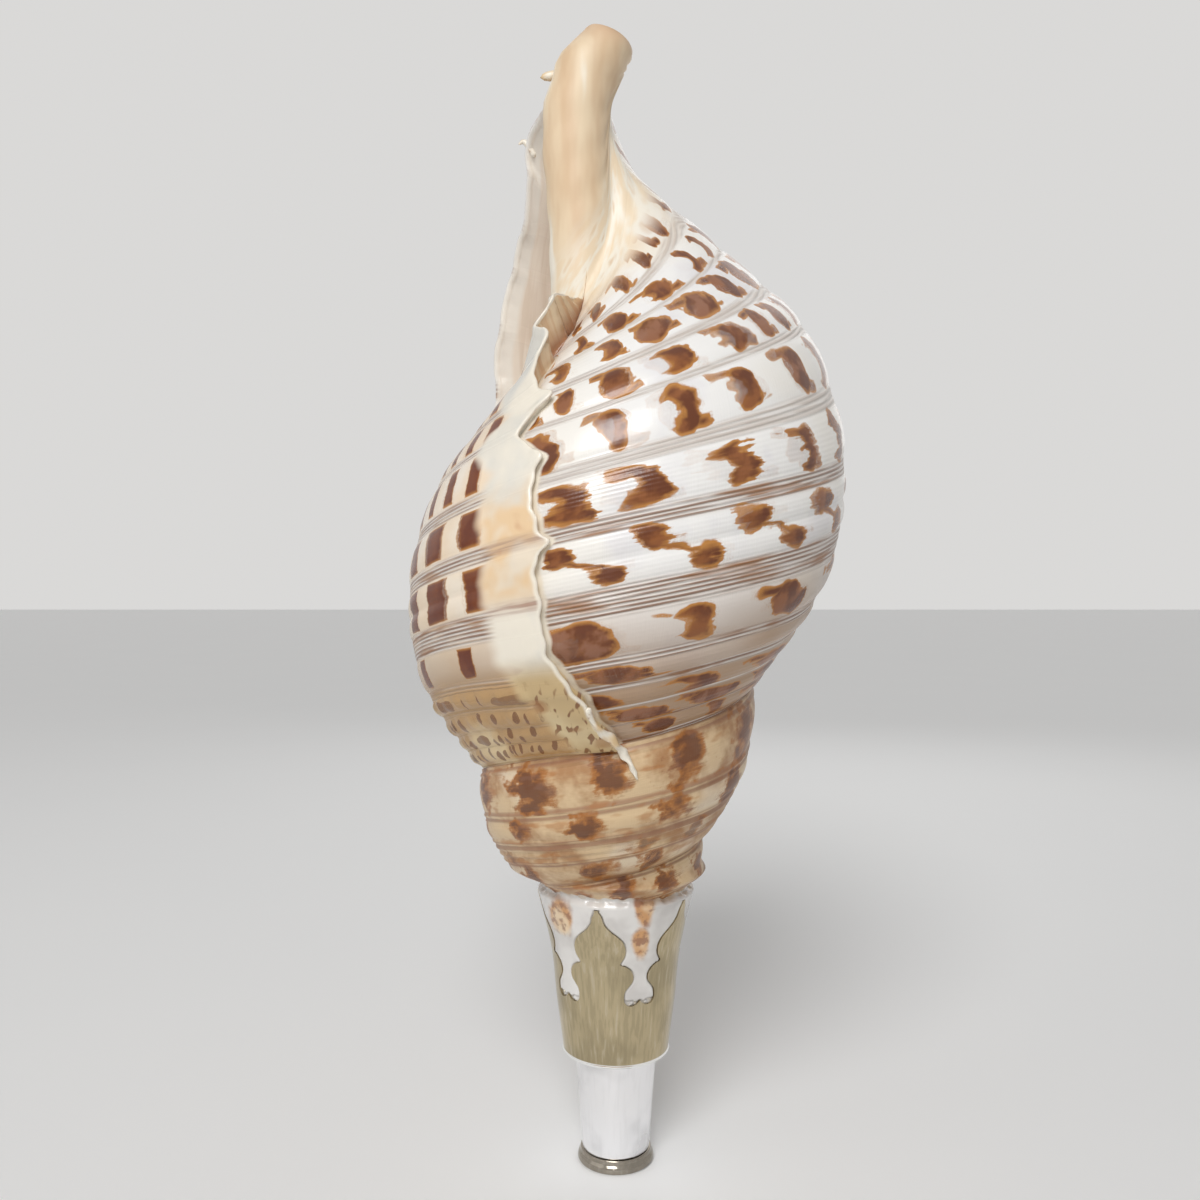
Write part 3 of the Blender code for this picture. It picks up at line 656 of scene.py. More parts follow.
# %% Seams
for row, number in enumerate(old_numbers):
    over = number + COUNT
    old[row, SEAM] = last[over, 0] if over >= 0 else old[row + COUNT, 0]
last[0, SEAM] = last[COUNT, 0]
weave.sheet(last, last_carried)
pairs = (old, last), (old_carried, last_carried)
weave.sheet(*(np.concatenate([turn, end[:1, :SEAM + 1]]) for turn, end in pairs))
start_ring = np.concatenate([old[0], old[1:COUNT, 0][::-1]])
start_carried = np.concatenate([old_carried[0], old_carried[1:COUNT, 0][::-1]])
middle = weave.add([weave.points[start_ring].mean(axis=0) + (0, 0, 0.002)])[0]
weave.fan(start_ring, start_carried, middle)
print("joined", len(old_numbers), "columns of older turns")

# %% [markdown]
# ## The rolled lip
#
# The lip turns from the outer skin round to the inner one in a run of folds. The roll is full
# down the side and thin at the seam.

# %% Rolled lip
LIP_FOLDS = 10
ROLL = 0.0020
level = np.concatenate([ROWS, np.full(CANAL_ROWS, SECTION_END)])
lip_angle = lean(0.0, level)
_, _, out_r, out_z = skin_frame(lip_angle, level)
way = np.radians(lip_angle + LIP_AZIMUTH)
out = np.stack([out_r * np.cos(way), out_r * np.sin(way), out_z], axis=-1)
ahead = np.stack([-np.sin(way), np.cos(way), 0 * way], axis=-1)
small = np.minimum(1.0, 0.2 + np.arange(len(level)) / 12.0)
small[len(ROWS):] = 0.8
scallop = 0.05 * np.sin(level * 2 * np.pi / 0.052) * ease((2.3 - level) / 0.1)
edge = weave.points[last[COUNT]]
folds, fold_carried = [last[COUNT]], [last_carried[COUNT]]
for step in range(1, LIP_FOLDS + 1):
    share = step / LIP_FOLDS
    forward = ROLL * math.sin(math.pi * share) - 0.0015 * share
    inward = ROLL * (1 - math.cos(math.pi * share)) * (1 + scallop * share)
    fold = edge + (ahead * forward - out * inward[:, None]) * small[:, None]
    numbers = weave.add(fold)
    numbers[0] = last[COUNT, 0]
    folds.append(numbers)
    lip_values = last_carried[COUNT].copy()
    lip_values[:, 2] = share
    lip_values[:, 4] = step * 0.2
    fold_carried.append(lip_values)
weave.sheet(np.array(folds), np.array(fold_carried))
print("the lip is", ROLL * 2000, "mm thick at its roll")

# %% [markdown]
# ## The hollow
#
# Behind the lip the hollow winds back round the column of the shell. Its outer side keeps a
# wall's thickness inside the skin, and its inner side lies on the turn before.

# %% Hollow
WALL, INNER_WALL, HOLLOW_END = 0.0036, 0.0006, -640.0
WRINKLE = 0.0062  # from fold to fold on the hollow's inner side
HOLLOW_ROWS = np.linspace(1.05, 2.42, 46)
hollow_angles = np.concatenate([np.arange(-4.0, -40.0, -3.0), np.arange(-40.0, HOLLOW_END, -6.0)])
hollow_angle, level = np.meshgrid(hollow_angles, HOLLOW_ROWS, indexing="ij")
own = hollow_angle + lip_reach(level) * ease((hollow_angle + 70.0) / 70.0) * (hollow_angle > -75.0)
radius, z = plain_section(own, level)
size = size_at(own - 360.0)
before = size * section_radius(own - 360.0, np.minimum((z - APEX_Z) / size, BODY[-1][0]))
before = joined(before, canal_radius(own - 360.0, z), CANAL_BLEND)
_, _, out_r, _ = skin_frame(own, level)
wall = np.where(own > -360.0, WALL, WALL * 0.8)
chord = radius - before
near_lip = np.exp(-(((hollow_angle + 12.0) / 7.0) ** 2))
teeth = 0.0004 * np.maximum(np.sin(level * 2 * np.pi / 0.062), 0.0) * near_lip
wrinkles = 0.0009 * np.maximum(np.sin(z * 2 * np.pi / WRINKLE), 0.0) * ease((30.0 - hollow_angle) / 40.0)
outside = np.minimum(wall / np.maximum(out_r, 0.45) + teeth, 0.45 * chord)
inside = np.minimum(INNER_WALL + wrinkles, 0.1 * chord)
inner = weave.add(around(own, before + inside, z))
outer = weave.add(around(own, radius - outside, z))
inner_carried = carry(own, level, 2.0, 0.0)
outer_carried = carry(own, level, 1.0, 0.0)
weave.sheet(inner, inner_carried, flip=True)
weave.sheet(outer, outer_carried)
sides = ((inner, inner_carried), (outer, outer_carried))
for row, pair in ((0, sides), (-1, sides[::-1])):  # along the foot and along the top
    weave.sheet(*(np.stack([side[part][:, row] for side in pair], axis=1) for part in (0, 1)))
weave.sheet(*(np.stack([side[part][-1] for side in sides]) for part in (0, 1)))
print("the hollow winds back", -HOLLOW_END / 360, "turns")

# %% Join the hollow to the opening
inner_edge, inner_values = last[0, SEAM + 1:], last_carried[0, SEAM + 1:].copy()
inner_values[:, 2] = 2.0
outer_edge, outer_values = folds[-1][1:], fold_carried[-1][1:]
corner = (last[COUNT, 0], last_carried[COUNT, 0])
weave.face(corner, (outer_edge[0], outer_values[0]), (inner_edge[0], inner_values[0]))
weave.face(
    (inner_edge[0], inner_values[0]), (outer_edge[0], outer_values[0]),
    (outer[0, 0], outer_carried[0, 0]), (inner[0, 0], inner_carried[0, 0]),
)
weave.zip(inner_edge, inner[0], inner_values, inner_carried[0])
weave.zip(outer[0], outer_edge, outer_carried[0], outer_values)
weave.face(
    (outer_edge[-1], outer_values[-1]), (inner_edge[-1], inner_values[-1]),
    (inner[0, -1], inner_carried[0, -1]), (outer[0, -1], outer_carried[0, -1]),
)
print("the opening's edge has", len(inner_edge) + len(outer_edge), "points")

# %% [markdown]
# ## The canal's mouth
#
# The canal ends in a rounded rim round a small hole, made by drawing the rim's ring inward in
# steps: first up over the rim, then down the hole.

# %% Canal's mouth
ring = np.concatenate([last[:, -1], [fold[-1] for fold in folds[1:]]])
ring_carried = np.concatenate([last_carried[:, -1], [values[-1] for values in fold_carried[1:]]])
rim_middle = (weave.points[ring].min(axis=0) + weave.points[ring].max(axis=0)) / 2
rings, rings_carried = [ring], [ring_carried]
MOUTH_STEPS = (
    # share of the way inward, rise
    (0.03, 0.0006), (0.08, 0.0011), (0.14, 0.0014), (0.21, 0.0014), (0.28, 0.0009), (0.34, -0.0004),
    (0.39, -0.0025), (0.43, -0.0055), (0.46, -0.0100),
)
for drawn, up in MOUTH_STEPS:
    edge = weave.points[ring]
    moved = edge + (rim_middle - edge) * (drawn, drawn, 0.8 * drawn) + (0, 0, up)
    rings.append(weave.add(moved))
    values = ring_carried.copy()
    values[:, 2] = 1.0 if drawn > 0.3 else 0.0
    values[:, 5] = 1.0 + drawn
    rings_carried.append(values)
both = np.array(rings), np.array(rings_carried)
weave.sheet(*(np.concatenate([whole, whole[:, :1]], axis=1) for whole in both))
middle = weave.add([weave.points[rings[-1]].mean(axis=0) - (0, 0, 0.002)])[0]
weave.fan(rings[-1], rings_carried[-1], middle)
print("the canal's mouth is drawn in through", len(MOUTH_STEPS), "rings")

# %% [markdown]
# The faces are turned to point outward, and the skin becomes one object in place of the
# solid model's shell.

# %% Shell object
shell_mesh = make_mesh(weave, "shell_skin", ("growth", "edges"))
work = bmesh.new()
work.from_mesh(shell_mesh)
bmesh.ops.delete(work, geom=[v for v in work.verts if not v.link_faces], context="VERTS")
bmesh.ops.recalc_face_normals(work, faces=work.faces[:])
open_edges = sum(1 for e in work.edges if len(e.link_faces) != 2)
work.to_mesh(shell_mesh)
work.free()
shell = bpy.data.objects.new("triton_skin", shell_mesh)
bpy.context.scene.collection.objects.link(shell)
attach(shell, "root")
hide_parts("shell")
triangles = sum(len(p.vertices) - 2 for p in shell_mesh.polygons)
print("the shell has", triangles, "triangles and", open_edges, "open edges")

# %% [markdown]
# ## Finishes worked out as expressions
#
# The markings are shader maths. One small class wraps a socket so that sums on sockets read
# like sums on numbers, and one method adds any other node. This keeps a finish as short as
# the idea behind it.

# %% A value in a finish
class Field:
    """A value in a finish. Sums on it add nodes."""

    def __init__(self, finish, socket):
        self.finish, self.socket = finish, socket

    def sum_with(self, operation, *others):
        values = {n + 1: other for n, other in enumerate(others)}
        return self.finish.node("ShaderNodeMath", {"operation": operation}, {0: self, **values})

    def __add__(self, other):
        return self.sum_with("ADD", other)

    __radd__ = __add__

    def __sub__(self, other):
        return self.sum_with("SUBTRACT", other)

    def __rsub__(self, other):
        return self.finish.node("ShaderNodeMath", {"operation": "SUBTRACT"}, {0: other, 1: self})

    def __mul__(self, other):
        return self.sum_with("MULTIPLY", other)

    __rmul__ = __mul__

    def __truediv__(self, other):
        return self.sum_with("DIVIDE", other)

    def __neg__(self):
        return self * -1.0

    def __abs__(self):
        return self.sum_with("ABSOLUTE")

    def least(self, other):
        return self.sum_with("MINIMUM", other)

    def most(self, other):
        return self.sum_with("MAXIMUM", other)

    def floor(self):
        return self.sum_with("FLOOR")

    def sine(self):
        return self.sum_with("SINE")

    def root(self):
        return self.sum_with("SQRT")

    def rises(self, low, high):
        """0 below low and 1 above high, smoothly. The two may be given in falling order."""
        if low > high:
            return 1 - self.rises(high, low)
        inputs = {"Value": self, "From Min": low, "From Max": high}
        return self.finish.node("ShaderNodeMapRange", {"interpolation_type": "SMOOTHSTEP"}, inputs)


print("a value also knows", [name for name in vars(Field) if name.isalpha()])


# %% A material
class Finish:
    """A material and the nodes in it."""

    def __init__(self, name):
        self.material = bpy.data.materials.new(name)
        self.material.use_nodes = True
        self.tree = self.material.node_tree
        self.shader = self.tree.nodes["Principled BSDF"]

    def node(self, kind, settings=None, inputs=None, output=0):
        """Adds a node, makes its settings, and links or fills its sockets."""
        made = self.tree.nodes.new(kind)
        for key, value in (settings or {}).items():
            setattr(made, key, value)
        for key, value in (inputs or {}).items():
            self.give(made.inputs[key], value)
        return Field(self, made.outputs[output])

    def give(self, socket, value):
        """Links a field to a socket, or writes a number or a colour in it."""
        if isinstance(value, Field):
            self.tree.links.new(value.socket, socket)
        elif isinstance(value, tuple) and len(value) == 3 and socket.type == "RGBA":
            socket.default_value = (*value, 1.0)
        else:
            socket.default_value = value

    def mix(self, first, second, share):
        """Colour between two colours."""
        return self.node("ShaderNodeMix", {"data_type": "RGBA"}, {0: share, 6: first, 7: second}, 2)

    def coats(self, colour, *over):
        """Coats laid over a colour one after another, each given as (colour, share)."""
        for coat, share in over:
            colour = self.mix(colour, coat, share)
        return colour

    def carried(self, name):
        """The three values of a vector kept on the mesh."""
        return self.parts(self.node("ShaderNodeAttribute", {"attribute_name": name}, {}, 1))

    def parts(self, vector):
        """The three values of a vector."""
        split = self.node("ShaderNodeSeparateXYZ", {}, {0: vector})
        return [Field(self, out) for out in split.socket.node.outputs]

    def vector(self, x, y, z=0.0):
        return self.node("ShaderNodeCombineXYZ", {}, {0: x, 1: y, 2: z})

    def noise(self, place, scale=1.0, detail=2.0, rough=0.5):
        inputs = {"Vector": place, "Scale": scale, "Detail": detail, "Roughness": rough}
        return self.node("ShaderNodeTexNoise", {}, inputs)

    def chance(self, place):
        """Three random values that change from cell to cell."""
        settings = {"noise_dimensions": "3D"}
        return self.parts(self.node("ShaderNodeTexWhiteNoise", settings, {"Vector": place}, 1))

    def place(self, x=1.0, y=1.0, z=1.0):
        """The point itself, in metres in the object's own frame, stretched along each axis."""
        point = self.node("ShaderNodeTexCoord", {}, {}, 3)
        return self.node("ShaderNodeVectorMath", {"operation": "MULTIPLY"}, {0: point, 1: (x, y, z)})

    def set(self, **values):
        """Gives the shader's own sockets their values."""
        for key, value in values.items():
            self.give(self.shader.inputs[key.replace("_", " ").title()], value)

    def bump(self, height, distance, strength=1.0):
        """Fine relief, as deep as the distance where the height is 1."""
        inputs = {"Height": height, "Distance": distance, "Strength": strength}
        made = self.node("ShaderNodeBump", {}, inputs)
        self.tree.links.new(made.socket, self.shader.inputs["Normal"])


print("a finish can make", [name for name in vars(Finish) if name.isalpha()])


# %% Colours
def srgb(red, green, blue):
    """A colour given in 0 to 255 steps, as light."""
    steps = np.array([red, green, blue]) / 255.0
    light = np.where(steps <= 0.04045, steps / 12.92, ((steps + 0.055) / 1.055) ** 2.4)
    return tuple(float(v) for v in light)


def shades(*colours):
    """Several colours at once."""
    return [srgb(*colour) for colour in colours]


print("dark brown as light:", [round(v, 3) for v in srgb(92, 50, 26)])

# %% [markdown]
# ## The shell's marks
#
# On each cord brown marks follow one another as the shell grew. Every cord has its own
# spacing, so each row is a count along the growth that reads a whole number at the middle of
# a mark. The count and the place across the cord are worked out here for every corner of the
# mesh, and the shader only has to draw one mark round each whole number.

# %% Rows of marks
MARK_ROWS = (
    # middle and half width, then for the front and for the shell older than the rib:
    # (degrees from mark to mark, start, swing, its period, its start, half length, strength, comb)
    # on the older shell the marks are small blocks
    (1.040, 0.026, (24.0, 0.30, 0.10, 70, 30, 5.0, 0.7, 0.5), (4.6, 0.30, 0.60, 43, 30, 1.3, 1.0, 0.3)),
    (1.090, 0.024, (26.0, 0.588, 0.0, 90, 0, 9.0, 1.0, 0.4), (5.4, 0.588, 0.7, 37, 0, 1.4, 1.0, 0.3)),
    (1.145, 0.028, (32.25, 0.489, 0.0, 90, 0, 9.0, 1.0, 0.4), (6.2, 0.489, 0.6, 51, 0, 1.4, 0.8, 0.3)),
    (1.215, 0.026, (34.0, 0.10, 0.0, 90, 0, 7.0, 0.5, 0.4), (8.0, 0.10, 0.7, 33, 0, 1.3, 0.5, 0.3)),
    (1.320, 0.055, (29.0, 0.708, 0.089, 75, -24, 6.6, 1.0, 0.05), (25.4, 0.449, 0.0, 90, 0, 2.8, 1.0, 0.1)),
    (1.522, 0.070, (22.3, 0.659, 0.06, 85, 30, 6.8, 1.0, 0.35), (16.4, 0.616, 0.0, 75, 0, 4.2, 1.0, 0.1)),
    (1.700, 0.062, (20.0, 0.242, 0.067, 75, 126, 6.2, 1.0, 0.45), (15.5, 0.626, 0.0, 75, 0, 4.2, 1.0, 0.1)),
    (1.868, 0.066, (17.75, 0.561, 0.081, 60, -88, 4.8, 1.0, 0.0), (10.7, 0.570, 0.0, 60, 0, 2.4, 1.0, 0.1)),
    (1.998, 0.044, (14.0, 0.898, 0.34, 90, 1, 4.2, 1.0, 0.1), (9.2, 0.152, 0.0, 90, 0, 2.2, 1.0, 0.1)),
    (2.110, 0.044, (18.0, 0.697, 0.065, 60, -42, 5.7, 1.0, 0.1), (10.0, 0.697, 0.2, 60, -42, 2.2, 1.0, 0.1)),
    (2.200, 0.036, (20.0, 0.262, 0.216, 90, -37, 5.2, 1.0, 0.1), (11.0, 0.262, 0.2, 90, -37, 2.2, 1.0, 0.1)),
    (2.300, 0.040, (17.0, 0.886, 0.189, 60, 52, 4.2, 0.9, 0.1), (12.0, 0.886, 0.189, 60, 52, 2.2, 0.6, 0.1)),
    (2.390, 0.026, (15.0, 0.40, 0.2, 80, 10, 3.4, 0.0, 0.1), (15.0, 0.40, 0.2, 80, 10, 2.4, 0.0, 0.1)),
)
SPIRE_ROWS = (
    # the same again: on the old turns the marks run together into soft clouds
    (1.08, 0.070, (39.0, 0.359, 0.10, 95, 20, 7.5, 1.0, 0.3)),
    (1.215, 0.040, (36.0, 0.700, 0.15, 110, 80, 6.0, 0.7, 0.5)),
    (1.37, 0.070, (34.3, 0.373, 0.04, 90, 0, 7.5, 1.0, 0.3)),
    (1.61, 0.130, (31.5, 0.127, 0.06, 120, 40, 9.0, 1.0, 0.3)),
)
PARTS = ((MARK_ROWS, 2), (MARK_ROWS, 3), (SPIRE_ROWS, 2))
ROW_TABLE = np.array([(*row[:2], *row[side]) for part, side in PARTS for row in part])
PAIR_ROW = MARK_ROWS[5][0]  # marks on this broad cord are two bodies with a thin neck


def divides(table):
    """The heights where one row ends and the next begins."""
    middle, half = np.array([row[:2] for row in table]).T
    return (middle[:-1] + half[:-1] + middle[1:] - half[1:]) / 2


def row_number(angle, read, from_rib):
    """Which row of the table a place belongs to."""
    row = np.searchsorted(divides(MARK_ROWS), read)
    old = np.searchsorted(divides(SPIRE_ROWS), read) + 2 * len(MARK_ROWS)
    return np.where(angle < SPIRE_FROM, old, np.where(from_rib < 0, row + len(MARK_ROWS), row))


print("rows divide at", divides(MARK_ROWS).round(3))

# %% Keep the counts on the mesh
loops, faces = len(shell_mesh.loops), len(shell_mesh.polygons)
growth, edges, starts = np.zeros(loops * 3), np.zeros(loops * 3), np.zeros(faces, int)
shell_mesh.attributes["growth"].data.foreach_get("vector", growth)
shell_mesh.attributes["edges"].data.foreach_get("vector", edges)
shell_mesh.polygons.foreach_get("loop_start", starts)
corners = np.diff(np.append(starts, loops))
angle, level = growth[0::3], growth[1::3]
read = cord_height(angle, level)
mean = [np.repeat(np.add.reduceat(v, starts) / corners, corners) for v in (angle, read, edges[0::3])]
rows = ROW_TABLE[row_number(*mean)]
middle, half, spacing, start, swing, period, first, length, strength, comb = rows.T
count = angle / spacing - start - swing * np.sin(2 * np.pi * angle / period + np.radians(first))
for title, values in (
    ("marks", (count, (read - middle) / half, middle)),
    ("rows", (spacing / length, strength, comb)),
):
    kept = shell_mesh.attributes.new(title, "FLOAT_VECTOR", "CORNER")
    kept.data.foreach_set("vector", np.stack(values, axis=1).ravel())
print("counts run from", round(float(count.min())), "to", round(float(count.max())))

# %% [markdown]
# ## The shell's finish
#
# The outside is glossy white with brown marks, amber at their edges. The grooves are
# pinkish grey with fine threads, partly their own colour and partly painted shade. It turns tan
# near the seam and on the old turns, and peach on the canal and on the smooth band behind the
# rib's edge. The inside is smooth and cream, and deeper in it is orange.

# %% Shell finish: where we are
enamel = Finish("shell_enamel")
angle_at, height_at, side_at = enamel.carried("growth")
from_rib, from_lip, canal_at = enamel.carried("edges")
count_at, across, row_at = enamel.carried("marks")
spacing_at, strength_at, comb_at = enamel.carried("rows")
where = enamel.place()
drifted = DRIFT * (angle_at - DRIFT_ZERO) * height_at.rises(1.65, 1.95)
read_at = height_at - drifted * angle_at.rises(-232.0, -200.0) * angle_at.rises(-98.0, -130.0)


def drawn_out(along, up, seed, detail=2.0):
    """Noise that is stretched along the growth: features of about 1/along degrees by 1/up in height."""
    return enamel.noise(enamel.vector(angle_at * along, height_at * up, seed), 1.0, detail)


def waves(value, spacing):
    """An even wave between -1 and 1."""
    return (value * (2 * math.pi / spacing)).sine()


print("the finish reads", len(ROW_TABLE), "rows of marks")

# %% Shell finish: masks
broad = enamel.noise(where, 9.0, 3.0)
cloud = enamel.noise(where, 34.0, 3.0)
streak = drawn_out(0.06, 85.0, 0.0)
wobble = drawn_out(0.16, 15.0, 3.0, 3.0)
slow = drawn_out(0.075, 9.0, 7.0)
outside = side_at.rises(0.5, 0.15)
spire = angle_at.rises(-358.0, -364.0) * outside
near_spire = (angle_at + (cloud - 0.5) * 36.0).rises(-312.0, -350.0)
band = (from_rib + (cloud - 0.5) * 5.0).rises(BAND_BACK, BAND_BACK + BAND_FADE) * from_rib.rises(1.5, 0.3)
band = band * height_at.rises(2.5, 2.4) * (1 - spire)
old_turn = from_rib.rises(0.6, 0.0)
front = 1 - old_turn
low = read_at.rises(1.52, 1.14)
old_low = old_turn * read_at.rises(1.30, 1.24)
old_foot = old_turn * read_at.rises(1.32, 1.22)
canal_share = canal_at.rises(0.02, 0.25)
high = height_at.rises(2.26, 2.40)
groove = abs(across).rises(0.86, 1.10) * (1 - spire)
print("masks ready")

# %% [markdown]
# A mark is a rounded body with a thin tail ahead at its foot and one behind at its top, and
# some are hollowed from behind into a crescent. Each is an oval whose depth is greatest in its
# middle, so the amber edge is where the depth is small. Older marks are plain blocks.

# %% Shell finish: one mark
upward = across + (slow - 0.5) * 1.1 * front
warp = upward * 0.30 * front + (wobble - 0.5) * (1.0 + 0.6 * front) + (streak - 0.5) * 2.2 * comb_at
warped = count_at + warp / spacing_at
cell = (warped + 0.5).floor()
first, second, third = enamel.chance(enamel.vector(cell, row_at * 31.7, old_turn.floor()))
along = (warped - cell) * spacing_at / (0.82 + 0.40 * first) + (second - 0.5) * (0.30 + 1.8 * old_low)
along = along * (1 - 0.32 * from_rib.rises(34.0, 8.0) * front * read_at.rises(1.80, 1.74))


def oval(middle_along, middle_up, half_along, half_up):
    """How deep a place lies in an oval: 0 on its rim."""
    aside = (along - middle_along) / half_along
    above = (upward - middle_up) / half_up
    return (1 - (aside * aside + above * above).root()) * half_up


body = oval(0.05, -0.06, 1.0, 0.98)
top_tail = oval(-0.95, 0.66, 1.1, 0.28) - (1 - third).rises(0.45, 0.7) * 0.3
low_tail = oval(0.95, -0.70, 1.1, 0.26) - second.rises(0.55, 0.8) * 0.3
bite = oval(-0.95, -0.10, 0.80, 0.60) - third.rises(0.35, 0.60) * 0.6
crescent = body.least(-bite).most(top_tail).most(low_tail)
neck = (0.17 - abs(upward + along * 0.60)).least((0.95 - abs(along)) * 0.5)
pair = oval(-0.62, 0.48, 0.56, 0.50).most(oval(0.66, -0.52, 0.60, 0.44)).most(neck)
is_pair = (row_at - PAIR_ROW + 0.01).rises(0.0, 0.002) * (row_at - PAIR_ROW - 0.01).rises(0.0, -0.002)
crescent = crescent * (1 - is_pair) + pair * is_pair
block = ((1.0 - abs(along)) * 0.8).least(0.90 - abs(across)) + (cloud - 0.5) * 0.4
dot = oval(0.0, third - 0.5, 0.75 + 0.5 * first, 0.50 + 0.40 * second) + (cloud - 0.5) * 0.8
block = block * (1 - old_low) + dot * old_low
soft = (1 - (along * along * 0.9 + across * across * 0.6).root()) * 0.7
soft = soft + (cloud - 0.5) * 2.4 + (wobble - 0.5) * 1.6
depth = (crescent + (cloud - 0.5) * 0.35) * front + block * old_turn
depth = depth.least((0.5 - abs(warped - cell)) * spacing_at * 0.8 - 0.20 + (cloud - 0.5) * 0.7)
depth = depth.least((1.12 - abs(across)) * 1.4)
depth = depth * (1 - spire) + soft * spire
print("mark ready")

# %% Shell finish: which marks show
present = (1 - band) * (1 - canal_share) * outside * (strength_at * 1.2 + second).rises(1.10, 1.12)
present = present * height_at.rises(2.37, 2.31)
mark = depth.rises(-0.02, 0.05) * present
heart = (depth + (broad - 0.5) * 0.5).rises(0.03, 0.24) * present
print("marks placed")

# %% Shell finish: colour of the ground
WHITE, CREAM, COOL, OLD_CREAM = shades((246, 244, 241), (244, 232, 208), (224, 221, 226), (240, 218, 190))
PINK_GREY, PALE_GROOVE, RUST = shades((150, 120, 102), (222, 214, 206), (154, 100, 50))
SPIRE_TAN, SPIRE_CREAM, LOW_TAN = shades((196, 160, 118), (220, 194, 156), (164, 124, 80))
FOOT_TAN, FOOT_CREAM, FOLD_TAN = shades((190, 152, 104), (228, 206, 164), (214, 178, 132))
CANAL_CREAM, IVORY = shades((240, 220, 190), (244, 236, 220))
THREAD = 0.0118  # from thread to thread in the grooves, in height

thread = waves(read_at, THREAD) * 0.5 + 0.5
line = (thread * 0.6 + streak * 0.8).rises(0.50, 0.95)
deep_groove = groove * read_at.rises(1.72, 1.60).most(old_turn * 0.8)
# colour of the grooves: partly the shell's own pinkish grey and brown, partly painted shade in the recesses
groove_colour_and_shade = enamel.coats(
    PALE_GROOVE,
    (PINK_GREY, (deep_groove * 0.75 + 0.25) * line),
    (RUST, drawn_out(0.05, 24.0, 4.0).rises(0.50, 0.66) * deep_groove * 0.75),
)
fold = drawn_out(0.035, 16.0, 6.0)
top_colour = enamel.coats(
    CANAL_CREAM,
    (IVORY, fold.rises(0.42, 0.58)),
    (FOLD_TAN, fold.rises(0.60, 0.72) * 0.6),
)
ground = enamel.coats(
    WHITE,
    (CREAM, broad.rises(0.50, 0.68) * 0.55 + angle_at.rises(-196.0, -216.0) * 0.25),
    (COOL, cloud.rises(0.52, 0.68) * 0.5 * front),
    (OLD_CREAM, old_turn * (0.45 + 0.5 * cloud.rises(0.4, 0.6))),
    (enamel.mix(SPIRE_TAN, SPIRE_CREAM, cloud.rises(0.4, 0.6)), near_spire * 0.9),
    (LOW_TAN, low * (0.62 + 0.38 * broad.rises(0.3, 0.6))),
    (FOOT_TAN, old_foot),
    (FOOT_CREAM, old_foot * cloud.rises(0.48, 0.62) * 0.8),
    (groove_colour_and_shade, groove * (1 - 0.85 * old_low) * (0.45 + 0.55 * streak.rises(0.30, 0.55))),
    (top_colour, high),
)
print("ground ready")

# %% Shell finish: colour of the marks
DARK, BROWN, AMBER, MAUVE_AND_SHEEN = shades((104, 52, 20), (146, 86, 40), (188, 128, 62), (150, 112, 96))
BLOCK, DOT = shades((104, 42, 16), (108, 56, 22))
old_dots = old_turn * read_at.rises(1.30, 1.22)
heart_colour = enamel.coats(
    DARK,
    (BROWN, wobble.rises(0.40, 0.62)),
    # mauve in the middle of front marks: partly their own tone, partly a painted highlight
    (MAUVE_AND_SHEEN, third.rises(0.6, 0.95) * wobble.rises(0.47, 0.6) * 0.5 * front),
)
mark_colour = enamel.coats(
    AMBER,
    (heart_colour, heart),
    (BLOCK, old_turn * 0.7 * heart * read_at.rises(1.22, 1.30)),
    (DOT, old_dots),
)
coloured = enamel.mix(ground, mark_colour, mark * (1 - old_dots * 0.25))
print("marks coloured")

# %% Shell finish: colour of the spire
TAN, LIGHT_TAN, PALE_TAN, RIDGE, ORANGE_TAN = shades(
    (176, 132, 90), (220, 192, 152), (236, 220, 194), (146, 102, 78), (176, 112, 52),
)
SOFT_AMBER, SOFT_BROWN, SOFT_MAUVE = shades((172, 108, 44), (108, 58, 24), (126, 88, 72))
spire_cloud = enamel.noise(where, 55.0, 4.0, 0.6)
between = abs(across).rises(0.78, 1.02)
ridge = waves(read_at, OLD_THREAD) * 0.5 + 0.5
soft_mark = enamel.coats(
    SOFT_AMBER, (SOFT_BROWN, depth.rises(0.15, 0.5)), (SOFT_MAUVE, slow.rises(0.52, 0.62) * 0.5),
)
spire_colour = enamel.coats(
    TAN,
    (LIGHT_TAN, spire_cloud.rises(0.36, 0.60)),
    (PALE_TAN, (1 - between) * cloud.rises(0.50, 0.64) * 0.7),
    (RIDGE, (ridge * 0.7 + streak * 0.9).rises(0.45, 0.95) * between * 0.7),
    (ORANGE_TAN, drawn_out(0.07, 14.0, 14.0).rises(0.56, 0.68) * 0.55),
    (soft_mark, depth.rises(-0.06, 0.22) * strength_at * 0.94),
)
print("spire coloured")

# %% Shell finish: colour of the rib's band
PEACH, PEARL, SMOKE, PEACH_BROWN = shades((236, 204, 162), (226, 222, 212), (170, 136, 120), (196, 130, 84))
BAND_TAN, BAND_TAN_DARK, BAND_DOT, BAND_RUST = shades(
    (222, 200, 156), (196, 166, 118), (124, 72, 32), (168, 116, 68),
)
patch = drawn_out(0.09, 8.0, 9.0)
ragged_height = height_at + (cloud - 0.5) * 0.10
peach_place = ragged_height.rises(1.42, 1.52) * ragged_height.rises(1.83, 1.70)


def ring_at(height, below):
    """A thin ring round the band at a height."""
    return (height_at - height).rises(-below, 0.0) * (height_at - height).rises(0.03, 0.0)


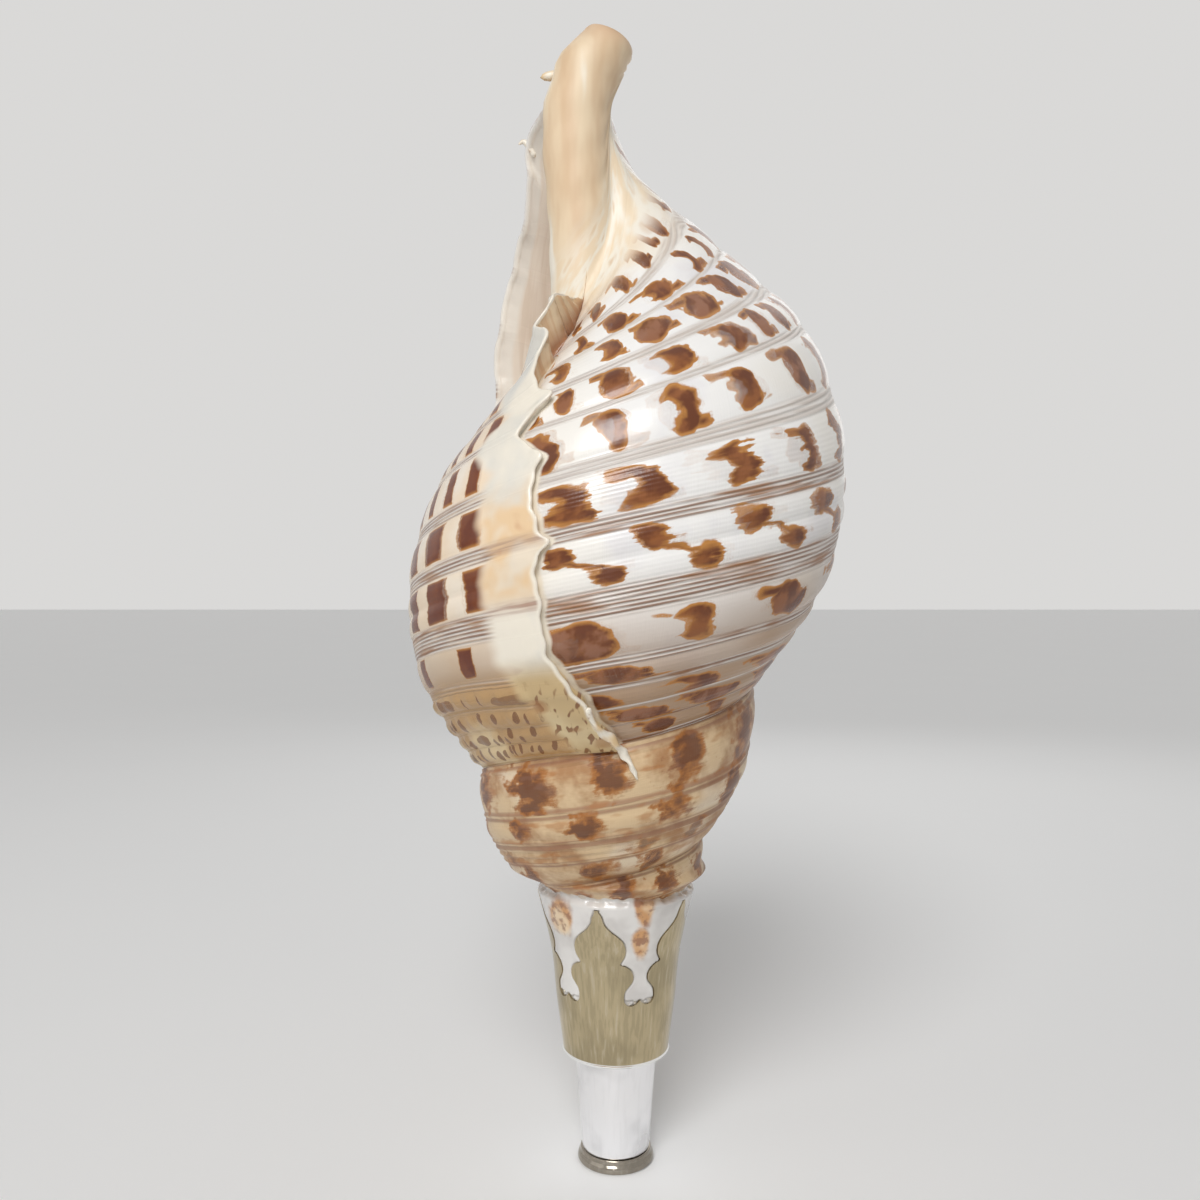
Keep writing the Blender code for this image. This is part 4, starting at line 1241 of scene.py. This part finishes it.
smoke = ring_at(1.62, 0.03) + ring_at(1.45, 0.035)
band_foot = enamel.coats(
    BAND_TAN,
    (BAND_TAN_DARK, cloud.rises(0.4, 0.6) * 0.7),
    (BAND_DOT, drawn_out(0.42, 26.0, 12.0, 1.0).rises(0.56, 0.63) * height_at.rises(1.27, 1.18) * 0.85),
    (BAND_RUST, drawn_out(0.06, 12.0, 16.0).rises(0.56, 0.68) * 0.6),
)
band_colour = enamel.coats(
    IVORY,
    (PEARL, cloud.rises(0.42, 0.62)),
    (PEACH, peach_place * (0.35 + 0.65 * patch.rises(0.38, 0.55))),
    (SMOKE, smoke * (0.25 + 0.6 * streak.rises(0.4, 0.65))),
    (PEACH_BROWN, patch.rises(0.58, 0.70) * peach_place * 0.7),
    (band_foot, height_at.rises(1.33, 1.24)),
    # a lighter line along the rib's edge: a painted highlight
    (IVORY, from_rib.rises(-1.4, -0.4) * 0.85),
)
print("band coloured")

# %% Shell finish: colour of the canal and of the cup under the ear
CANAL_PEACH, CANAL_TAN, CANAL_WHITE, TIP_TAN = shades(
    (236, 214, 182), (214, 180, 142), (248, 240, 224), (204, 168, 134),
)
CUP_CREAM, CUP_TAN, CUP_SHADE = shades((232, 210, 176), (212, 170, 128), (150, 88, 42))
canal_cloud = enamel.noise(enamel.place(1.0, 1.0, 0.20), 70.0, 3.0)
canal_colour = enamel.coats(
    CANAL_PEACH,
    (CANAL_TAN, canal_cloud.rises(0.44, 0.68) * 0.8),
    (CANAL_WHITE, canal_cloud.rises(0.46, 0.34)),
    (TIP_TAN, canal_at.rises(0.90, 1.02) * 0.7),
)
cup = canal_at.rises(-0.5, -0.9) * height_at.rises(2.02, 2.10)
cup_colour = enamel.coats(
    CUP_CREAM,
    (CUP_TAN, streak.rises(0.42, 0.60) * 0.7),
    # brown deep in the cup under the ear: painted shade
    (CUP_SHADE, canal_at.rises(-1.45, -1.95) * height_at.rises(2.10, 2.28) * 0.85),
)
print("canal and cup coloured")

# %% Shell finish: colour of the inside
MILK, FLESH, VEIN, LIP_WHITE, STAIN = shades(
    (240, 226, 208), (224, 164, 108), (218, 196, 172), (248, 242, 230), (104, 54, 30),
)
wrinkle_stain = waves(enamel.parts(where)[2], WRINKLE).rises(0.1, -0.8)
wrinkle_stain = wrinkle_stain * side_at.rises(1.6, 1.9) * from_lip.rises(-70.0, -20.0)
inside_colour = enamel.coats(
    MILK,
    (FLESH, from_lip.rises(-5.0, -60.0)),
    (VEIN, drawn_out(0.5, 4.0, 21.0).rises(0.45, 0.65) * 0.5),
    (LIP_WHITE, from_lip.rises(-3.0, -1.0) * 0.8),
    (STAIN, wrinkle_stain * 0.8),
)
coloured = enamel.coats(
    coloured,
    (spire_colour, spire),
    (band_colour, band * outside),
    (canal_colour, canal_at.rises(0.0, 0.3)),
    (cup_colour, cup),
    (inside_colour, side_at.rises(0.3, 0.9)),
)
enamel.set(base_color=coloured)
print("colour ready")

# %% Shell finish: gloss and fine relief
enamel.set(roughness=0.17 + groove * 0.16 + spire * 0.14 + canal_share * 0.14 + low * 0.08 + broad * 0.06)
growth_lines = drawn_out(2.6, 2.0, 2.0, 3.0)
fine = thread * (0.03 + 0.97 * groove + 0.35 * comb_at * front)
fine = fine * outside * (1 - band) * (1 - high) * (1 - spire)
grain = enamel.noise(where, 900.0, 2.0)
surface = fine * 0.7 + growth_lines * 0.12 * (1 - canal_share) + grain * 0.06 + streak * spire * 0.5
enamel.bump(surface, 0.0004)
shell_mesh.materials.append(enamel.material)
print("shell finish has", len(enamel.tree.nodes), "nodes")


# %% [markdown]
# ## Small growths on the shell
#
# The rib's thin edge runs on past the seam as a free blade with a rope-like twist, and there is
# a hooked point at the top of the lip and a small peg on the canal. Each is a tapered loft
# along a few points, which is quicker than sculpting and keeps the faces even.

# %% Pieces made from rings of corners
def join_rings(work, rings):
    """Four-sided faces between each ring of corners and the next."""
    for first, second in zip(rings, rings[1:]):
        for k in range(len(first)):
            work.faces.new((first[k - 1], second[k - 1], second[k], first[k]))


def object_from(work, name):
    """An object of the faces, all turned outward."""
    bmesh.ops.recalc_face_normals(work, faces=work.faces[:])
    mesh = bpy.data.meshes.new(name)
    work.to_mesh(mesh)
    work.free()
    made = bpy.data.objects.new(name, mesh)
    bpy.context.scene.collection.objects.link(made)
    return made


def finished(work, name):
    """A smooth piece that rides on the one body there is."""
    made = object_from(work, name)
    made.data.polygons.foreach_set("use_smooth", [True] * len(made.data.polygons))
    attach(made, "root")
    return made


print("every piece is closed, smooth and rides on the root")

# %% Tapered lofts
SWELLINGS = 44.0  # how far the ripple turns along a rod, in radians


def evenly(values, at):
    """A smooth line through values that lie at even steps from 0 to 1."""
    return smooth_table(list(zip(np.linspace(0.0, 1.0, len(values)), values)), at)


def loft(name, path, radii, flatness, twist, ripple, sides=14, steps=48):
    """A closed tapering rod through the points of a path."""
    at = np.linspace(0.0, 1.0, steps)
    middle = np.stack([evenly(line, at) for line in np.array(path, float).T], axis=1)
    radius = evenly(radii, at)
    tangent = np.gradient(middle, axis=0)
    tangent /= np.linalg.norm(tangent, axis=1, keepdims=True)
    side = np.cross(tangent, (0.0, -1.0, 0.15))
    side /= np.linalg.norm(side, axis=1, keepdims=True)
    face = np.cross(side, tangent)
    work = bmesh.new()
    rings = []
    for n in range(steps):
        spin = math.radians(twist * at[n])
        ring = []
        for k in range(sides):
            way = 2 * math.pi * k / sides
            swell = 1 + ripple * math.sin(at[n] * SWELLINGS + way)
            a, b = math.cos(way) * swell, math.sin(way) * flatness * swell
            a, b = a * math.cos(spin) - b * math.sin(spin), a * math.sin(spin) + b * math.cos(spin)
            ring.append(work.verts.new(middle[n] + radius[n] * (side[n] * a + face[n] * b)))
        rings.append(ring)
    join_rings(work, rings)
    ends = middle[0] - tangent[0] * radius[0] * 0.6, middle[-1] + tangent[-1] * radius[-1]
    for ring, end in zip((rings[0], rings[-1]), ends):
        tip = work.verts.new(end)
        for k in range(sides):
            work.faces.new((ring[k - 1], ring[k], tip))
    return finished(work, name)


print("a rod's ripple turns", round(SWELLINGS / (2 * math.pi), 1), "times")

# %% The blade
BLADE_ROOT = (1.16, 1.10, 1.05, 1.01)  # heights on the rib's edge
# steps aside and up from the rib's foot, and how far off the skin
BLADE_TIP = ((0.0020, -0.0035, 0.0014), (0.0040, -0.0072, 0.0010), (0.0058, -0.0104, 0.0004))
BLADE_RADII = (0.0010, 0.0015, 0.0018, 0.0018, 0.0015, 0.0010, 0.0005)
shell_points = [v.co[:] for v in shell_mesh.vertices]
shell_tree = BVHTree.FromPolygons(shell_points, [p.vertices[:] for p in shell_mesh.polygons])


def rib_edge_point(height, lift):
    """A point on the rib's edge, lifted off the skin."""
    at = RIB_AZIMUTH + float(rib_reach(height))
    return lifted(np.array(at), np.array(height), float(smooth_table(RIB_FLARE, height)) + lift)


def resting_on_shell(point, lift):
    """The same point moved to just outside the skin, on the line to the shell's axis."""
    out = Vector((point[0] - AXIS_X, point[1] - AXIS_Y, 0.0)).normalized()
    hit = shell_tree.ray_cast(Vector((AXIS_X, AXIS_Y, point[2])) + out * 0.15, -out)
    return np.array(hit[0] + out * lift)


blade_start = rib_edge_point(1.0, 0.0)
blade_path = [rib_edge_point(h, -0.0004) for h in BLADE_ROOT]
blade_path += [resting_on_shell(blade_start + np.array([x, 0.0, z]), lift) for x, z, lift in BLADE_TIP]
blade = loft("rib_blade", blade_path, BLADE_RADII, 0.62, 620.0, 0.16)
print("the blade's free end is at", np.round(blade_path[-1], 4))

# %% [markdown]
# The hook stands on the lip's edge where it meets the canal. The peg is a stub on the canal.

# %% Hook and peg
HOOK_HEIGHT = 2.202
HOOK_STEPS = ((0.0030, 0.0, -0.0050), (0.0006, 0.0, -0.0008), (-0.0022, 0.0, 0.0012), (-0.0042, 0.0, 0.0002))
PEG_AZIMUTH, PEG_Z = 168.0, 0.4305
PEG_STEPS = ((0.0025, 0.0, 0.0004), (0.0, 0.0, 0.0001), (-0.0020, 0.0, -0.0001), (-0.0036, 0.0, -0.0004))


def lip_edge_point(height):
    """A point on the lip's edge."""
    at = np.array(float(lip_reach(height)))
    return lifted(at, np.array(height), float(smooth_table(LIP_FLARE, height)))


def stub(name, foot, offsets, radii, flatness, steps):
    """A small rippled point that stands on the shell."""
    return loft(name, [foot + offset for offset in offsets], radii, flatness, 0.0, 0.05, 12, steps)


hook_foot = lip_edge_point(HOOK_HEIGHT)
hook = stub("lip_hook", hook_foot, HOOK_STEPS, (0.0016, 0.0017, 0.0012, 0.0005), 0.8, 18)
peg_angle = np.array(PEG_AZIMUTH - LIP_AZIMUTH)
peg_skin = around(peg_angle, canal_radius(peg_angle, PEG_Z), PEG_Z)
peg = stub("canal_peg", peg_skin, PEG_STEPS, (0.0022, 0.0021, 0.0018, 0.0013), 0.9, 16)
print("hook at", np.round(hook_foot, 4), "and peg at", np.round(peg_skin, 4))

# %% Finish of the small growths
# the third colour is a painted highlight for the sleeve's hem
GROWTH_TAN, GROWTH_BROWN, HEM_HIGHLIGHT_METAL = shades((226, 196, 150), (170, 116, 60), (250, 250, 248))

growth_finish = Finish("shell_growths")
growth_noise = growth_finish.noise(growth_finish.place(), 220.0, 3.0)
growth_wide = growth_finish.noise(growth_finish.place(), 90.0, 2.0)
growth_colour = growth_finish.coats(
    IVORY,
    (GROWTH_TAN, growth_wide.rises(0.45, 0.6)),
    (GROWTH_BROWN, growth_noise.rises(0.58, 0.68) * 0.6),
)
growth_finish.set(base_color=growth_colour, roughness=0.25 + growth_noise * 0.1)
growth_finish.bump(growth_noise, 0.0004)
for piece in (blade, hook, peg):
    piece.data.materials.append(growth_finish.material)
print("three small pieces of shell")

# %% [markdown]
# ## The mouthpiece's metal
#
# The tube and the rim are turned on a lathe, so each is a profile spun about the axis. Their
# corners are rounded a little, because a real edge always catches a thin line of light.

# %% Turned metal
MOUTH_AXIS_X, MOUTH_AXIS_Y = AXIS_X + MOUTH_X, AXIS_Y + MOUTH_Y
RIM_PROFILE = (
    # radius and height
    (0.0118, 0.0), (0.0146, 0.0), (0.0152, 0.0009), (0.0149, 0.0024), (0.0141, 0.0036),
    (0.0140, 0.0050), (0.0116, 0.0050), (0.0115, 0.0075), (0.0068, 0.0170), (0.0066, 0.0240),
    (0.0054, 0.0240), (0.0054, 0.0165), (0.0096, 0.0065), (0.0113, 0.0014),
)
TUBE_PROFILE = (
    (0.0134, 0.0053), (0.0151, 0.0290), (0.0164, 0.0440), (0.0178, 0.0600), (0.0168, 0.0600),
    (0.0154, 0.0440), (0.0141, 0.0290), (0.0123, 0.0053),
)
CORNER = 0.00035
LATHE_STEPS = 144


def rounded(profile):
    """A closed profile with every corner replaced by three points."""
    points = np.array(profile)
    out = []
    for n, point in enumerate(points):
        before, after = points[n - 1] - point, points[(n + 1) % len(points)] - point
        near, far = (p / np.linalg.norm(p) * min(CORNER, np.linalg.norm(p) * 0.3) for p in (before, after))
        out += [point + near, point + (near + far) * 0.25, point + far]
    return out


def mouth_point(radius, way, z):
    """A point round the mouthpiece's axis, by its height above the floor."""
    return MOUTH_AXIS_X + radius * math.cos(way), MOUTH_AXIS_Y + radius * math.sin(way), z + FLOOR


def turned(name, profiles):
    """Profiles of (radius, height), one for each direction about the mouthpiece's axis, joined all round."""
    work = bmesh.new()
    rings = []
    for n, profile in enumerate(profiles):
        way = 2 * math.pi * n / len(profiles)
        rings.append([work.verts.new(mouth_point(r, way, z)) for r, z in profile])
    join_rings(work, rings[-1:] + rings)
    return finished(work, name)


tube = turned("mouth_tube", [rounded(TUBE_PROFILE)] * LATHE_STEPS)
rim = turned("mouth_rim", [rounded(RIM_PROFILE)] * LATHE_STEPS)
print("tube and rim have", len(tube.data.polygons) + len(rim.data.polygons), "faces")

# %% [markdown]
# The sleeve is a tapered sheet, pierced so that leaves stand up along its top. The gaps are cut
# with a boolean, which is how a craftsperson would saw them, and the cut edges are bevelled.

# %% Outline of a gap
LEAVES, LEAF_AZIMUTH = 5, 255.5
GAP = (
    # degrees from the gap's middle, and height
    (34.6, 0.1150), (34.6, 0.1064), (32.5, 0.1045), (30.8, 0.1015), (26.8, 0.0990), (21.0, 0.0966),
    (16.5, 0.0943), (14.4, 0.0914), (15.2, 0.0885), (18.6, 0.0855), (14.0, 0.0846), (9.4, 0.0830),
    (7.0, 0.0808), (7.6, 0.0785), (11.0, 0.0765), (14.0, 0.0748), (15.0, 0.0726), (14.3, 0.0706),
    (11.5, 0.0692), (8.2, 0.0689), (4.0, 0.0694), (0.0, 0.0708),
)


def fine_outline(points, pieces=4):
    """A smooth line through points, by the curve that bends evenly at each of them."""
    points = np.array(points, float)
    out = []
    for n in range(len(points) - 1):
        p0, p1, p2, p3 = (points[min(max(n + step, 0), len(points) - 1)] for step in (-1, 0, 1, 2))
        for k in range(pieces):
            t = k / pieces
            bend = (2 * p0 - 5 * p1 + 4 * p2 - p3) * t * t + (3 * p1 - p0 - 3 * p2 + p3) * t ** 3
            out.append(tuple(0.5 * (2 * p1 + (p2 - p0) * t + bend)))
    return out + [tuple(points[-1])]


FINE_GAP = [GAP[0], GAP[1]] + fine_outline(GAP[2:])


def gap_cutter(number):
    """A wedge that cuts one gap between two leaves."""
    middle = math.radians(LEAF_AZIMUTH + (number + 0.5) * 360.0 / LEAVES)
    outline = [(-a, z) for a, z in FINE_GAP] + [(a, z) for a, z in reversed(FINE_GAP[:-1])]
    work = bmesh.new()
    rings = []
    for share in (0.75, 1.6):
        ring = []
        for degrees, z in outline:
            radius = float(sleeve_radius(min(z, SLEEVE_TOP))) * share
            ring.append(work.verts.new(mouth_point(radius, middle + math.radians(degrees), z)))
        rings.append(ring)
    join_rings(work, rings)
    for ring in rings:
        work.faces.new(ring)
    bmesh.ops.triangulate(work, faces=[f for f in work.faces if len(f.verts) > 4])
    return object_from(work, "gap")


print("half a gap has", len(FINE_GAP), "points")

# %% Pierced sleeve
SLEEVE_WALL = 0.0009
SLEEVE_STEPS = 180
HEM = [
    # radius and height
    (0.0199, 0.0454), (0.0170, 0.0454), (0.0167, 0.0447), (0.0170, 0.0440), (0.0206, 0.0440),
    (0.02105, 0.0441), (0.0213, 0.0444), (0.02125, 0.0448), (0.0210, 0.0450),
]
wall_out = [(float(sleeve_radius(z)), float(z)) for z in np.linspace(0.0448, SLEEVE_TOP, 34)]
wall_in = [(r - SLEEVE_WALL, z) for r, z in reversed(wall_out[1:])]
sleeve = turned("pierced_sleeve", [wall_out[1:] + wall_in + HEM] * SLEEVE_STEPS)
cutters = [gap_cutter(n) for n in range(LEAVES)]
for cutter in cutters:
    cut = sleeve.modifiers.new("cut", "BOOLEAN")
    cut.operation, cut.solver, cut.object = "DIFFERENCE", "EXACT", cutter
soften = sleeve.modifiers.new("soften", "BEVEL")
soften.width, soften.segments = 0.00018, 2
soften.limit_method, soften.angle_limit = "ANGLE", math.radians(50)
bpy.context.view_layer.update()
pierced = bpy.data.meshes.new_from_object(sleeve.evaluated_get(bpy.context.evaluated_depsgraph_get()))
sleeve.modifiers.clear()
sleeve.data = pierced
pierced.polygons.foreach_set("use_smooth", [True] * len(pierced.polygons))
pierced.set_sharp_from_angle(angle=math.radians(35))
for cutter in cutters:
    bpy.data.objects.remove(cutter)
print("the sleeve has", len(pierced.polygons), "faces")

# %% [markdown]
# The metal is polished nickel silver. A mirror finish is never perfect: it has fine marks
# round it from the polishing wheel, cloudy patches where it has been held, and a few pits. The
# dark and light lines along the sleeve's length are painted reflections of its surroundings,
# and its bright hem is a painted highlight.

# %% Polished metal
def polished(name, base, dull, marks, painted_reflection, hem=0.0):
    """Polished metal with wheel marks, patches and painted reflections in lines along it. Below the hem's
    height the colour is a painted highlight.
    """
    finish = Finish(name)
    patches = finish.noise(finish.place(), 42.0, 3.0)
    drawn = finish.noise(finish.place(780.0, 780.0, 22.0), 1.0, 3.0)
    wheel = finish.noise(finish.place(60.0, 60.0, 5200.0), 1.0, 2.0)
    pits = finish.noise(finish.place(), 1500.0, 1.0)
    colour = finish.coats(
        base,
        (tuple(v * 0.80 for v in base), patches.rises(0.45, 0.65)),
        # dark and light lines along the length: painted reflections of the surroundings
        (tuple(v * 0.62 for v in base), drawn.rises(0.50, 0.40) * painted_reflection),
        (tuple(v ** 0.55 for v in base), drawn.rises(0.55, 0.68) * painted_reflection),
        # below the hem's height: a painted highlight
        (HEM_HIGHLIGHT_METAL, finish.parts(finish.place())[2].rises(FLOOR + hem + 0.0002, FLOOR + hem)),
    )
    finish.set(base_color=colour, metallic=1.0)
    finish.set(roughness=dull + patches.rises(0.45, 0.70) * 0.10 + wheel * 0.05)
    finish.bump(wheel * marks + pits.rises(0.70, 0.80) * 0.5, 0.00003)
    return finish.material


# sleeve: the metal's own tint plus a painted reflection of brown surroundings; rim: darkened as a painted
# reflection of dark surroundings
SLEEVE_METAL_AND_BROWN_REFLECTION, TUBE_METAL, RIM_METAL_AND_DARK_REFLECTION = shades((196, 181, 148), (252, 252, 254), (160, 152, 140))
for piece, node, metal in (
    (sleeve, "sleeve", polished("sleeve_metal_polished", SLEEVE_METAL_AND_BROWN_REFLECTION, 0.07, 0.5, 0.36, 0.0452)),
    (tube, "tube", polished("tube_metal_polished", TUBE_METAL, 0.18, 0.8, 0.1)),
    (rim, "rim", polished("rim_metal_polished", RIM_METAL_AND_DARK_REFLECTION, 0.06, 0.4, 0.2)),
):
    piece.data.materials.clear()
    piece.data.materials.append(metal)
    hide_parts(node)
print("metal finished")

# %% [markdown]
# ## Plaster
#
# White plaster fills the gaps between the leaves, flush with the metal, and is smeared up over
# the ground end of the spire to a ragged edge. Rays cast in from all round find the shell's
# skin, and the plaster lies a little outside it, tapering under it at the ragged edge.

# %% Where the plaster reaches
ROUND = 540
SIDE_HEIGHTS = np.linspace(0.0665, SLEEVE_TOP, 84)
SMEAR_STEPS = np.linspace(0.0, 1.0, 16)[1:]
SEAT_TOP = ((0.1072, 0.0310), (0.1085, 0.0313), (0.1100, 0.0311), (0.1130, 0.0300), (0.118, 0.028))
SMEAR, CLEARANCE = 0.0004, 0.0002
GAP_FOOT, FOOT_DROP, FOOT_HALF = 0.0708, 0.0019, 8.2  # the gap's foot drops a little to each side
PLASTER_FOOT = 0.0605
GAP_HEIGHTS, GAP_WIDTHS = np.array(sorted((z, a) for a, z in FINE_GAP[1:])).T
RAY_START = 0.12


def gap_share(degrees, z):
    """1 in the gaps between leaves and 0 behind the leaves, with the leaf's edge left clear."""
    turn = (degrees - LEAF_AZIMUTH - 180.0 / LEAVES) % (360.0 / LEAVES)
    aside = min(turn, 360.0 / LEAVES - turn)
    width = float(np.interp(z, GAP_HEIGHTS, GAP_WIDTHS))
    foot = GAP_FOOT - FOOT_DROP * min(aside / FOOT_HALF, 1.0)
    return float(ease((width - 0.35 - aside) / 0.8)) * float(ease((z - foot - CLEARANCE) / 0.0005))


def shell_radius(way, z):
    """The shell's radius about the mouthpiece's axis, found by a ray cast inward."""
    out = Vector((math.cos(way), math.sin(way), 0.0))
    hit = shell_tree.ray_cast(Vector((MOUTH_AXIS_X, MOUTH_AXIS_Y, z + FLOOR)) + out * RAY_START, -out)
    return RAY_START - hit[3] if hit[0] else 0.0


def ragged_top(degrees):
    """How high the smear reaches."""
    way = math.radians(degrees)
    out = 0.1112 + 0.0012 * math.cos(way - math.radians(235)) + 0.0008 * math.sin(3 * way + 1.0)
    return out + 0.0006 * math.sin(8 * way) + 0.0005 * math.sin(19 * way + 2.0) + 0.0003 * math.sin(43 * way)


tops = [round(ragged_top(d), 4) for d in range(360)]
print("the smear reaches from", min(tops), "to", max(tops))

# %% Plaster mesh
PLASTER_INSIDE = [
    (0.0262, 0.1050), (0.0215, 0.0822), (0.0186, 0.0672), (0.006, 0.0672), (0.006, PLASTER_FOOT),
]


def plaster_profile(degrees):
    """The plaster's section in one direction: up the leaves, over the smear and back down inside."""
    way = math.radians(degrees)
    top = ragged_top(degrees)
    profile = []
    for z in SIDE_HEIGHTS:
        flush = float(sleeve_radius(z)) - CLEARANCE
        inner = flush - SLEEVE_WALL
        profile.append((inner + (flush - inner) * gap_share(degrees, z), z))
    for share in SMEAR_STEPS:
        z = SLEEVE_TOP + (top - SLEEVE_TOP) * share
        seat = float(smooth_table(SEAT_TOP, z)) - 0.004 * max(share - 0.5, 0.0)
        lump = 0.00015 * math.sin(way * 13 + z * 900) + 0.0001 * math.sin(way * 29 - z * 1500)
        skin = shell_radius(way, z) + (SMEAR + lump) * (1 - share ** 2) - 0.0005 * share ** 8
        profile.append((skin + max(seat - skin, 0.0) * (1 - float(ease((share - 0.1) / 0.85))), z))
    foot = (float(sleeve_radius(PLASTER_FOOT)) - SLEEVE_WALL - 0.0003, PLASTER_FOOT)
    return profile + [(profile[-1][0] - 0.0014, top - 0.0010), *PLASTER_INSIDE, foot]


plaster = turned("plaster_seat", [plaster_profile(n * 360.0 / ROUND) for n in range(ROUND)])
thin_column = [0.0] * len(SIDE_HEIGHTS) + list(SMEAR_STEPS) + [1.0] + [0.0] * (len(PLASTER_INSIDE) + 1)
kept = plaster.data.attributes.new("thin", "FLOAT_VECTOR", "POINT")
kept.data.foreach_set("vector", np.repeat(np.tile(thin_column, ROUND), 3))
print("the plaster has", 2 * len(plaster.data.polygons), "triangles")

# %% [markdown]
# The plaster was brushed smooth while wet and then lacquered. In two places the shell's brown
# shows through where it is thin.

# %% Plaster finish
PATCH_AMBER, PATCH_CREAM, PATCH_BROWN, PATCH_RUST = shades(
    (206, 148, 84), (236, 210, 172), (132, 74, 40), (150, 92, 52),
)
PLASTER_WHITE, PLASTER_GREY, PLASTER_VEIL = shades((228, 225, 221), (206, 202, 198), (206, 184, 156))
plaster_finish = Finish("lacquered_plaster")
plaster_x, plaster_y, plaster_z = plaster_finish.parts(plaster_finish.place())
plaster_cloud = plaster_finish.noise(plaster_finish.place(), 60.0, 3.0)
plaster_fine = plaster_finish.noise(plaster_finish.place(), 320.0, 3.0)


def thin_place(x, z, half_x, half_z):
    """Where the plaster is thin on the front: an oval with a ragged edge."""
    aside = (plaster_x - (MOUTH_AXIS_X + x)) / half_x
    above = (plaster_z - (FLOOR + z)) / half_z
    ragged = (plaster_cloud - 0.5) * 1.6 + (plaster_fine - 0.5) * 0.35
    oval_depth = 1 - (aside * aside + above * above).root() + ragged
    return oval_depth * (plaster_y - MOUTH_AXIS_Y).rises(0.0, -0.01)


left_patch = thin_place(-0.0213, 0.1030, 0.0056, 0.0078)
right_patch = thin_place(0.0100, 0.1075, 0.0040, 0.0100).most(thin_place(0.0090, 0.0950, 0.0036, 0.0080))
patch_depth = left_patch.most(right_patch)
patch_colour = plaster_finish.coats(
    PATCH_AMBER,
    (PATCH_CREAM, plaster_cloud.rises(0.46, 0.60)),
    (PATCH_BROWN, plaster_fine.rises(0.46, 0.62) * 0.7),
    (PATCH_RUST, plaster_z.rises(FLOOR + 0.1075, FLOOR + 0.1105) * 0.8),
)
thin = plaster_finish.carried("thin")[0]
veil = thin * 0.9 + (plaster_cloud - 0.5) * 1.0 + (plaster_fine - 0.5) * 0.5
plaster_colour = plaster_finish.coats(
    PLASTER_WHITE,
    (PLASTER_GREY, plaster_cloud.rises(0.40, 0.65)),
    (PLASTER_VEIL, veil.rises(0.45, 0.95) * 0.9),
    (patch_colour, patch_depth.rises(-0.12, 0.34) * 0.92),
)
plaster_finish.set(base_color=plaster_colour, roughness=0.16 + plaster_fine * 0.14)
plaster_finish.set(coat_weight=0.4, coat_roughness=0.08)
plaster_finish.bump(plaster_cloud * 0.8 + plaster_fine * 0.2, 0.0006, 0.6)
plaster.data.materials.append(plaster_finish.material)
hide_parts("seat")
print("plaster finished")

# %% [markdown]
# ## Floor and light
#
# A pale floor and soft light from large lamps.

# %% Floor
FLOOR_REACH = 8.0
corners = [(x * FLOOR_REACH, y * FLOOR_REACH, FLOOR) for x, y in ((-1, -1), (1, -1), (1, 1), (-1, 1))]
floor_mesh = bpy.data.meshes.new("floor")
floor_mesh.from_pydata(corners, [], [(0, 1, 2, 3)])
floor = bpy.data.objects.new("floor", floor_mesh)
bpy.context.scene.collection.objects.link(floor)
floor_finish = Finish("floor_paint")
floor_grain = floor_finish.noise(floor_finish.place(), 6.0, 2.0)
floor_colour = floor_finish.mix((0.94, 0.94, 0.94), (0.96, 0.96, 0.955), floor_grain)
floor_finish.set(base_color=floor_colour, roughness=0.6)
floor_mesh.materials.append(floor_finish.material)
print("the floor lies at", round(FLOOR, 5))

# %% World
WORLD_LIGHT, WORLD_SEEN = 0.25, 0.70  # how bright it lights, and how bright it looks and mirrors

world = bpy.data.worlds.new("studio")
bpy.context.scene.world = world
world.use_nodes = True
sky = world.node_tree
background = sky.nodes["Background"]
background.inputs["Color"].default_value = (1.0, 0.99, 0.975, 1.0)
rays = sky.nodes.new("ShaderNodeLightPath")
seen = rays.outputs["Is Camera Ray"]
for kind in ("Is Glossy Ray", "Is Transmission Ray"):
    either = sky.nodes.new("ShaderNodeMath")
    either.operation = "MAXIMUM"
    sky.links.new(seen, either.inputs[0])
    sky.links.new(rays.outputs[kind], either.inputs[1])
    seen = either.outputs[0]
level = sky.nodes.new("ShaderNodeMapRange")
level.inputs["To Min"].default_value = WORLD_LIGHT
level.inputs["To Max"].default_value = WORLD_SEEN
sky.links.new(seen, level.inputs["Value"])
sky.links.new(level.outputs[0], background.inputs["Strength"])
print("the world lights at", WORLD_LIGHT)


# %% Lamps
def lamp(name, place, aim, size, power, tall=1.0):
    """A large lamp that looks at a point."""
    data = bpy.data.lights.new(name, "AREA")
    data.shape = "RECTANGLE"
    data.size, data.size_y = size, size * tall
    data.energy = power
    made = bpy.data.objects.new(name, data)
    made.location = place
    bpy.context.scene.collection.objects.link(made)
    made.rotation_euler = (Vector(aim) - Vector(place)).to_track_quat("-Z", "Y").to_euler()


lamp("key", (-0.16, -0.75, 0.78), (0, 0, 0.28), 0.40, 1.9)
lamp("strip", (-0.10, -0.80, 0.42), (0, 0, 0.15), 0.05, 0.22, 14.0)
lamp("fill", (-0.9, -0.5, 0.62), (0, 0, 0.22), 0.8, 0.75)
lamp("back", (0.2, 0.9, 0.8), (0, 0, 0.25), 0.9, 1.5)
daylight = bpy.data.lights.new("daylight", "SUN")
daylight.energy, daylight.angle = 1.22, math.radians(30)
daylight_lamp = bpy.data.objects.new("daylight", daylight)
daylight_lamp.rotation_euler = (math.radians(48), 0.0, math.radians(-14))
bpy.context.scene.collection.objects.link(daylight_lamp)
bpy.context.scene.view_settings.view_transform = "Standard"
print("four lamps and daylight")

# %% [markdown]
